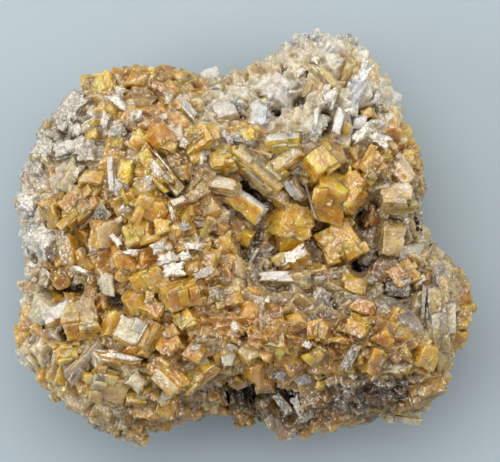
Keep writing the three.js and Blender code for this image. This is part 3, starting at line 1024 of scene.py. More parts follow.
        # golden crystals turn lemon towards their edges: a painted glow of light through them
        glow = working.edge_glow * ramp(second, 0.4, 0.6) * smooth_noise(place, 2.1, 73)
        colours = colours + golden * glow[..., None] * (1.12 * colour_of(LEMON) - colours)
        cloud = 0.4 * smooth_noise(place, 0.7, 53) + 0.6 * smooth_noise(place, 1.9, 59)
        mottle = 1 + working.mottle * (cloud - 0.5)
        mottle *= 1 - 0.9 * self.depth("lines") * np.clip(-self.lines * 3, 0, 1)
        # painted patches of darkening, those along the lower edge painted shade
        patched = patch_shade(points[..., 0], points[..., 1])
        deep = (patched * working.ground_shade(points))[..., None] ** SHADE_BROWNING
        return colours * mottle[..., None] * deep


def worked(crystals: Crystals, template: tuple[Array, Array], seed: int, working: Working) -> Shell:
    """Carry a template of the cube to every crystal and work its faces.

    Each block's points move by their steps along the outward direction. Noise bites pieces out
    along the edges, and slow waves bend the crystal. Crystals under full_relief get less of it all.

    Args:
        crystals: The crystals.
        template: Points and triangles of the cube.
        seed: Seed of the random skews.
        working: Depths of the working.

    Returns:
        All crystals as one shell.
    """
    cube, triangles = template
    work = FaceWork(crystals, cube, working, np.random.default_rng(seed))
    local = work.local
    relief = np.minimum(1, crystals.half.min(axis=1) / working.full_relief)[:, None]
    away = local / np.maximum(np.linalg.norm(local, axis=2, keepdims=True), 1e-6)
    step, bite = (work.steps() * relief)[..., None], (work.bites() * relief)[..., None]
    local = local + step * work.outward - bite * away
    local = local + working.warp * relief[..., None] * work.waves()
    points = crystals.middle[:, None, :] + np.einsum("nij,nvj->nvi", crystals.attitude, local)
    starts = len(cube) * np.arange(len(crystals))[:, None, None]
    return Shell(
        points.reshape(-1, 3),
        (triangles + starts).reshape(-1, 3),
        work.colours(points).reshape(-1, 3),
        np.repeat(crystals.finish, len(triangles)),
        work.place[..., 2].ravel(),
    )


UPPER_SHARE = 0.86  # share of the places on broad faces that are on the upper one
PLACE_TAPER = 0.14  # how far places on the upper end are drawn in


def face_places(
    crystals: Crystals, count: int, seed: int, reach: float
) -> tuple[Array, Array, Array, Array]:
    """Strew places over crystals' faces, by the area of each face.

    Args:
        crystals: The crystals.
        count: How many places.
        seed: Seed of the draws.
        reach: How near they come to the edges, where 1 is on them.

    Returns:
        Places, their outward normals, the crystal of each and the axis that its face is across.
    """
    draw = np.random.default_rng(seed)
    x, y, z = crystals.half.T
    area = np.column_stack([y * z, z * x, x * y])
    chance = np.cumsum(area.ravel() / area.sum())
    picked = np.searchsorted(chance, draw.uniform(size=count)).clip(0, area.size - 1)
    owner, axis = picked // 3, picked % 3
    local = draw.uniform(-reach, reach, (count, 3))
    sign = np.where(draw.uniform(size=count) < UPPER_SHARE, 1.0, -1.0)
    sign = np.where(axis == 2, sign, np.where(draw.uniform(size=count) < 0.5, 1.0, -1.0))
    local[np.arange(count), axis] = sign
    local[:, :2] *= 1 - PLACE_TAPER * (local[:, 2:] + 1) / 2
    normal = np.zeros((count, 3))
    normal[np.arange(count), axis] = sign
    turn = crystals.attitude[owner]
    places = crystals.middle[owner] + np.einsum("nij,nj->ni", turn, local * crystals.half[owner])
    return places, np.einsum("nij,nj->ni", turn, normal), owner, axis


@dataclass(frozen=True)
class Overgrowth:
    """Lesser crystals sunk into the faces of a larger one, parallel to it and a little proud of it."""

    each: float = 6.0  # how many to a crystal
    least_share: float = 0.22  # of the larger one's size
    greatest_share: float = 0.8
    smallest: float = 0.2  # least half size, mm
    least_proud: float = 0.05  # mm
    most_proud: float = 0.5  # mm
    full_size: float = 0.8  # least half size that stands fully proud, mm
    wander: float = 3.0  # degrees
    # share given near-white caps, a painted glint
    glint_share: float = 0.04
    reach: float = 0.96  # of a face, where they grow

    def on(self, crystals: Crystals, seed: int) -> Crystals:
        """Grow them on crystals.

        Args:
            crystals: The crystals that carry them.
            seed: Seed of the draws.

        Returns:
            The lesser crystals.
        """
        count = int(self.each * len(crystals))
        places, normal, owner, axis = face_places(crystals, count, seed, self.reach)
        draw = np.random.default_rng(seed + 1)
        share = draw.uniform(self.least_share, self.greatest_share, (count, 3))
        half = np.maximum(crystals.half[owner] * share, self.smallest)
        proud = draw.uniform(self.least_proud, self.most_proud, count)
        sunk = half[np.arange(count), axis] - proud * np.minimum(1, half.min(axis=1) / self.full_size)
        turn, tip, roll = draw.normal(0, self.wander, (3, count))
        bright = draw.uniform(0.88, 1.14, (count, 1))
        # some lesser crystals get near-white caps and the pearly finish: painted glints
        pale = draw.uniform(size=count) < self.glint_share
        cap = np.where(pale[:, None], colour_of(SILVER), crystals.cap[owner])
        return Crystals(
            places - normal * sunk[:, None],
            half,
            crystals.attitude[owner] @ attitude(turn, tip, roll),
            (0.3 * crystals.cap[owner] + 0.7 * cap) * bright,
            crystals.side[owner] * bright,
            np.where(pale, PEARLY.value, crystals.finish[owner]),
        )


@dataclass(frozen=True)
class Sugar:
    """Grains that overgrow the crystals' faces in parallel with them. Sizes in mm."""

    count: int
    seed: int
    smallest: float = 0.22
    largest: float = 0.6
    flatness: float = 0.7
    wander: float = 20.0  # degrees
    # share of grains turned near white: painted glints
    glint_share: float = 0.05
    pale_from: float = 0.4  # ratio of blue to red
    steepest: float = 0.15  # least upward part of a face's normal
    reach: float = 0.7  # of a face
    sunk: float = 0.06
    # painted shade: the grains' sides a little darker than their tops
    side_shade: float = 0.94

    def over(self, crystals: Crystals) -> Crystals:
        """Strew the grains over crystals.

        Args:
            crystals: The crystals that carry them.

        Returns:
            The grains, as crystals of their own.
        """
        places, normal, owner, axis = face_places(crystals, self.count, self.seed, self.reach)
        broad = axis == 2
        draw = np.random.default_rng(self.seed + 1)
        colour = np.where(broad[:, None], crystals.cap[owner], crystals.side[owner])
        pale = colour[:, 2] / colour[:, 0] > self.pale_from
        keep = (normal[:, 2] > self.steepest) & pale & (crystals.finish[owner] == SUGARY.value)
        places, normal, owner, broad = (part[keep] for part in (places, normal, owner, broad))
        count = len(places)
        half = draw.uniform(self.smallest, self.largest, (count, 3)) / 2
        half[:, 2] *= self.flatness
        turn, tip, roll = draw.uniform(-self.wander, self.wander, (3, count))
        colour = np.where(broad[:, None], crystals.cap[owner], crystals.side[owner])
        colour = colour * draw.uniform(0.88, 1.12, (count, 1))
        # some grains are turned near white: painted glints
        pale = (draw.uniform(size=count) < self.glint_share)[:, None]
        colour = np.where(pale, 0.35 * colour + 0.65 * colour_of(SILVER), colour)
        return Crystals(
            places - normal * self.sunk,
            half,
            crystals.attitude[owner] @ attitude(turn, tip, roll),
            colour,
            # sides darker than tops: painted shade
            colour * self.side_shade,
            np.where(pale[:, 0], PEARLY.value, SUGARY.value),
        )


# ---------------------------------------------------------------- where the tones grow


class Region(Enum):
    """The nodes of crystals; the value names the CAD node and its material slot."""

    CRUST = ("crystal_crust", "wulfenite")
    VUG = ("vug_crystals", "vug_wulfenite")
    NOTCH = ("notch_crystals", "notch_wulfenite")


def region_of(x: Array, y: Array) -> Array:
    """Index of the region that each place in plan belongs to, in the order of Region."""
    return np.where(inside(VUG_OUTLINE, x, y), 1, np.where(inside(NOTCH_OUTLINE, x, y), 2, 0))


@dataclass(frozen=True)
class Zone:
    """A mix of tones, with a bell of weight over the plan and the share of each tone."""

    weight: Swell
    shares: dict[Tone, float]

    def row(self) -> Array:
        """Shares of all tones in their order, adding up to 1."""
        part = np.array([self.shares.get(tone, 0.0) for tone in Tone])
        return part / part.sum()


# Bell of weight, and shares of the tones.
ZONES = tuple(Zone(Swell(*bell), shares) for bell, shares in (
    ((0, 0, 900, 900, 0, 1),
     {GOLD: 30, ORANGE: 24, LEMON: 13, AMBER: 10, BEIGE: 12, CREAM: 5, OLIVE: 6}),
    ((-28, 17, 8, 6, 45, 14), {PEARL: 56, GREY: 34, CREAM: 6, BEIGE: 4}),
    ((-21.5, 22.5, 4, 3.4, 0, 6), {LEMON: 48, GOLD: 34, CREAM: 18}),
    ((-13, 21, 6, 4, 0, 6), {ORANGE: 36, GOLD: 30, GREY: 10, CREAM: 8, AMBER: 16}),
    ((-3, 20, 6.5, 5.5, 20, 7), {CREAM: 32, SILVER: 34, GREY: 12, LEMON: 14, BEIGE: 16}),
    ((12, 24, 9.5, 8, 0, 22), {CREAM: 20, SILVER: 54, PEARL: 8, LEMON: 18}),
    ((23, 14, 5, 8, 25, 4), {BEIGE: 28, CREAM: 22, GOLD: 22, OLIVE: 14, ORANGE: 14}),
    ((11, 11, 9, 3.5, 0, 3), {LEMON: 30, GOLD: 26, CREAM: 20, BEIGE: 24}),
    ((12.5, -1, 11, 7, -10, 4), {BROWN: 8, GREY: 36, BEIGE: 24, CREAM: 8, AMBER: 12, OLIVE: 12}),
    ((19, -8, 8, 2.6, -18, 5), {GREY: 58, OLIVE: 20, BEIGE: 22}),
    ((-9, -4, 8, 10, 10, 3), {ORANGE: 44, GOLD: 24, AMBER: 16, LEMON: 8, SILVER: 8}),
    ((12, -14, 13, 4.5, -8, 7), {GOLD: 16, ORANGE: 20, AMBER: 42, LEMON: 6, BEIGE: 4, OLIVE: 12}),
    ((26, -17, 7, 9, 0, 3), {GOLD: 32, ORANGE: 18, LEMON: 16, BEIGE: 22, OLIVE: 12}),
    ((-20, -24, 12, 5.5, -5, 3), {BEIGE: 30, OLIVE: 18, GREY: 14, GOLD: 20, CREAM: 18}),
    ((-9, -25, 5, 2.4, 5, 6), {GREY: 36, OLIVE: 40, BEIGE: 24}),
    # grey and brown along the lower edge: painted shade of the underside
    ((19, -25.8, 9, 2.4, 5, 20), {GREY: 38, BROWN: 36, AMBER: 18, OLIVE: 8}),
    ((-33.5, -5, 2.6, 11, 0, 5), {CREAM: 20, PEARL: 16, SILVER: 14, GOLD: 32, BEIGE: 18}),
    ((-27, -5, 3.5, 3, 0, 6), {GOLD: 40, ORANGE: 20, LEMON: 20, AMBER: 20}),
    ((-23, 6, 3.4, 4, 0, 6), {GOLD: 40, ORANGE: 24, AMBER: 24, LEMON: 12}),
    ((-22.5, 14.5, 3, 3, 0, 8), {GOLD: 44, BEIGE: 26, ORANGE: 20, CREAM: 10}),
    ((-3.4, -9.6, 3, 3, 0, 6), {GOLD: 40, ORANGE: 30, AMBER: 20, LEMON: 10}),
    ((-18.2, 9.8, 3, 3, 0, 6), {CREAM: 40, SILVER: 16, BEIGE: 24, LEMON: 20}),
    ((-18, -9.8, 2.6, 2.6, 0, 5), {CREAM: 46, BEIGE: 34, SILVER: 20}),
    ((-28, -20, 4, 4, 0, 5), {BEIGE: 44, CREAM: 30, GREY: 26}),
    ((3, 16.5, 5, 4, 0, 8), {LEMON: 44, CREAM: 34, SILVER: 22}),
    ((17, -6, 4.5, 3, 0, 6), {GREY: 56, BROWN: 20, BEIGE: 24}),
    ((26, 0, 2.4, 5, 0, 6), {GREY: 44, CREAM: 34, BEIGE: 22}),
    ((26.5, -14.8, 2.6, 3, 0, 6), {CREAM: 44, GREY: 20, BEIGE: 20, GOLD: 16}),
    ((-31, 8, 4, 7, -30, 7), {CREAM: 14, PEARL: 36, SILVER: 24, GOLD: 18, BEIGE: 8}),
    ((29, -5, 6, 7, 0, 7), {GREY: 36, BEIGE: 34, GOLD: 12, OLIVE: 18}),
    # amber of the notch's crystals, with brown as painted shade under the overhang
    ((1, -26, 7, 4, 0, 18), {AMBER: 60, BROWN: 24, GOLD: 16}),
))  # fmt: skip


def tone_chances(x: Array, y: Array) -> Array:
    """Mix the zones' shares, weighed by their bells.

    Args:
        x: Places across.
        y: Places up the plan.

    Returns:
        The chance of each tone at each place.
    """
    weights = np.stack([zone.weight.at(x, y) for zone in ZONES], axis=-1)
    mixed = weights @ np.stack([zone.row() for zone in ZONES])
    return mixed / mixed.sum(axis=-1, keepdims=True)


def drawn_tones(x: Array, y: Array, draw: np.random.Generator) -> Array:
    """Draw a tone's index for each place by its chances, mostly alike within a few millimetres.

    Args:
        x: Places across.
        y: Places up the plan.
        draw: Source of the draws.

    Returns:
        The indices.
    """
    ladder = np.cumsum(tone_chances(x, y), axis=1)
    patch = smooth_noise(np.column_stack([x, y, 0 * x]), 3.4, 89)
    pick = 1.5 * (patch - 0.5) + 0.5 + draw.normal(0, 0.13, len(x))
    pick = np.abs((pick + 1) % 2 - 1)
    return (pick[:, None] > ladder).sum(axis=1).clip(0, len(PALETTE) - 1)


# ---------------------------------------------------------------- placed crystals

# x, y, length, width, thickness, turn of the long axis about +Z, tip of its far end above the level,
# roll about the long axis, lift over the crust; tone of the broad faces, tone of the sides, finish.
# The tones of broad faces and sides are partly the crystals' own colours and partly painted light: faces
# that mirror the light are given near-white tones.
CRUST_TABLETS = (
    # upper left
    (-21.6, 22.8, 5.2, 4.4, 3.4, 10, 12, -15, 0.4, LEMON, GOLD, SUGARY),
    (-19.0, 20.0, 6.2, 1.9, 1.6, -32, 6, -15, 1.2, SILVER, CREAM, PEARLY),
    (-26.0, 13.6, 5.0, 2.4, 1.6, 20, 8, -18, 0.8, SILVER, GREY, STRIATED),
    (-26.3, 8.9, 5.6, 2.4, 1.4, 62, 5, 20, 0.9, CREAM, BEIGE, STRIATED),
    (-19.8, 9.2, 5.4, 1.7, 0.9, 92, 0, 66, 1.1, GREY, SILVER, STRIATED),
    (-28.2, 3.6, 4.6, 3.2, 3.2, -71, -8, 45, 1.0, ORANGE, GOLD, CLEAN),
    (-24.7, 4.0, 6.0, 3.2, 3.0, 40, 6, -14, 1.1, GOLD, ORANGE, CLEAN),
    (-17.5, 5.0, 4.6, 4.2, 3.0, 30, 12, 15, 0.6, GOLD, ORANGE, CLEAN),
    (-14.0, 4.4, 4.2, 4.0, 3.0, -20, -10, 20, 0.8, ORANGE, GOLD, SUGARY),
    (-15.6, 0.4, 5.0, 4.0, 3.0, 15, 15, -15, 0.6, GOLD, ORANGE, CLEAN),
    (-15.6, 23.7, 4.6, 4.2, 3.4, -10, 10, -20, 0.2, GOLD, ORANGE, SUGARY),
    (-9.6, 22.4, 3.8, 3.6, 3.0, 30, -12, -25, 0.3, GOLD, BEIGE, CLEAN),
    (-9.4, 19.0, 4.4, 2.8, 1.2, -52, 5, 30, 1.0, GOLD, SILVER, CLEAN),
    (-7.0, 14.6, 4.8, 4.0, 2.6, 30, 10, -20, 1.0, GOLD, LEMON, CLEAN),
    (-3.6, 11.4, 4.2, 3.8, 3.0, 20, 10, -25, 0.8, LEMON, GOLD, SUGARY),
    (-13.2, 10.2, 6.0, 3.0, 1.6, -50, 5, 20, 1.2, GOLD, ORANGE, CLEAN),
    # along the vug's upper edge
    (5.6, 14.4, 6.4, 2.0, 2.2, 3, 5, -42, 1.0, CREAM, LEMON, CLEAN),
    (1.9, 9.9, 8.6, 3.1, 2.6, -38, -8, -36, 1.2, BEIGE, GOLD, STRIATED),
    (6.4, 11.7, 6.0, 2.6, 2.3, 35, 5, -25, 1.0, BEIGE, GOLD, SUGARY),
    (11.0, 11.3, 4.6, 4.2, 3.2, 35, -20, -6, 1.2, LEMON, GOLD, CLEAN),
    (18.8, 11.2, 5.0, 3.6, 2.8, 55, -8, 16, 1.0, GOLD, ORANGE, CLEAN),
    # peak
    (16.1, 21.6, 5.2, 2.5, 1.4, 64, 6, -12, 1.3, SILVER, SILVER, STRIATED),
    (11.9, 23.8, 4.6, 1.7, 1.5, -45, 8, -25, 1.0, CREAM, LEMON, CLEAN),
    (12.6, 21.2, 3.4, 2.6, 1.4, 80, 12, -15, 1.1, SILVER, CREAM, PEARLY),
    (17.5, 15.5, 5.0, 2.4, 1.8, 40, 10, -15, 1.1, SILVER, CREAM, PEARLY),
    # lower left
    (-11.8, -20.2, 7.0, 3.6, 2.2, -46, 8, 34, 1.2, GOLD, ORANGE, STRIATED),
    (-7.2, -20.4, 6.6, 3.6, 2.2, 44, 8, -34, 1.2, LEMON, ORANGE, SUGARY),
    (-17.4, -13.8, 4.8, 4.4, 2.2, -24, -6, -12, 1.3, CREAM, GOLD, STRIATED),
    (-13.9, -14.6, 5.0, 2.8, 2.4, 61, 0, 32, 1.2, GOLD, ORANGE, STRIATED),
    (-18.8, -18.0, 7.2, 1.6, 2.0, -12, 3, -28, 0.9, SILVER, GOLD, PEARLY),
    (-20.6, -22.2, 6.6, 4.6, 3.0, -14, -8, 12, 0.8, BEIGE, GOLD, CLEAN),
    (-24.4, -12.4, 5.4, 5.6, 4.4, 8, 5, -34, 0.7, BEIGE, ORANGE, SUGARY),
    (-28.0, -11.4, 5.2, 2.6, 2.0, 23, 12, -28, 1.0, SILVER, GOLD, STRIATED),
    (-27.0, -17.4, 4.2, 3.0, 2.6, 6, 6, -28, 0.8, GOLD, ORANGE, SUGARY),
    (-23.8, -17.8, 7.8, 1.8, 1.2, 46, 3, 30, 0.9, GREY, BEIGE, STRIATED),
    # centre
    (-11.2, -15.6, 4.4, 4.2, 3.0, 30, 12, -20, 0.8, ORANGE, AMBER, CLEAN),
    (-9.4, -8.6, 6.0, 4.6, 3.0, 14, -12, 18, 1.0, ORANGE, GOLD, CLEAN),
    (-8.8, -12.2, 3.4, 2.8, 2.4, 35, 15, -20, 1.0, LEMON, GOLD, CLEAN),
    (-7.8, -4.0, 2.6, 3.6, 2.4, 15, 10, -20, 0.9, GOLD, ORANGE, CLEAN),
    (-5.4, -3.6, 2.8, 3.0, 2.2, -20, 10, -20, 0.9, ORANGE, GOLD, CLEAN),
    (-2.7, -9.2, 5.0, 3.6, 2.8, 15, -8, -22, 1.0, GOLD, ORANGE, CLEAN),
    # lower ridge
    (2.4, -9.6, 2.4, 2.2, 1.4, -25, 12, -12, 1.1, SILVER, GOLD, PEARLY),
    (10.2, -17.4, 3.4, 2.4, 2.0, 48, 10, 25, 1.0, LEMON, GOLD, CLEAN),
    (11.3, -14.0, 2.0, 3.4, 2.2, -8, 10, -20, 1.0, GOLD, ORANGE, CLEAN),
    (15.6, -17.8, 5.0, 1.8, 1.6, 60, 6, -20, 0.9, GREY, BEIGE, SUGARY),
    (18.9, -18.6, 4.2, 2.4, 2.2, 68, 6, 25, 0.9, ORANGE, GOLD, CLEAN),
    (22.0, -19.8, 3.8, 2.6, 2.2, -10, 8, -30, 0.9, CREAM, LEMON, CLEAN),
    # rim
    (-32.0, 5.0, 4.2, 4.6, 2.6, 80, 30, 25, -0.5, SILVER, CREAM, SUGARY),
    (-30.6, 0.2, 6.0, 4.6, 3.0, -28, -14, 12, -0.2, CREAM, SILVER, SUGARY),
    (-26.3, -1.4, 5.4, 2.8, 2.8, -80, -6, 35, 0.8, BEIGE, GOLD, CLEAN),
    (29.2, -5.0, 4.6, 3.4, 3.0, -28, -12, -20, 0.0, BEIGE, CREAM, SUGARY),
    (28.8, -12.6, 10.4, 4.2, 2.4, 93, 5, 18, 0.6, BEIGE, GREY, STRIATED),
    (32.4, -11.6, 4.4, 3.6, 3.0, 10, -20, 15, 0.0, GOLD, LEMON, SUGARY),
    (26.2, -22.2, 6.2, 4.6, 4.0, 20, -12, -15, 0.2, ORANGE, GOLD, CLEAN),
    (24.0, -26.4, 6.6, 3.0, 2.6, -4, -10, 20, -1.5, CREAM, GOLD, CLEAN),
    (-32.4, -16.6, 4.8, 4.0, 2.6, 60, -25, 15, -0.5, BEIGE, CREAM, CLEAN),
    (-17.0, -28.6, 5.0, 4.0, 2.8, 70, -25, 10, -0.5, GOLD, BEIGE, SUGARY),
    (9.8, 29.4, 4.0, 3.0, 2.4, 20, 25, 15, -0.2, CREAM, SILVER, SUGARY),
    (-5.8, -24.6, 4.4, 3.0, 2.2, -15, -15, 20, 0.0, OLIVE, GREY, SUGARY),
)

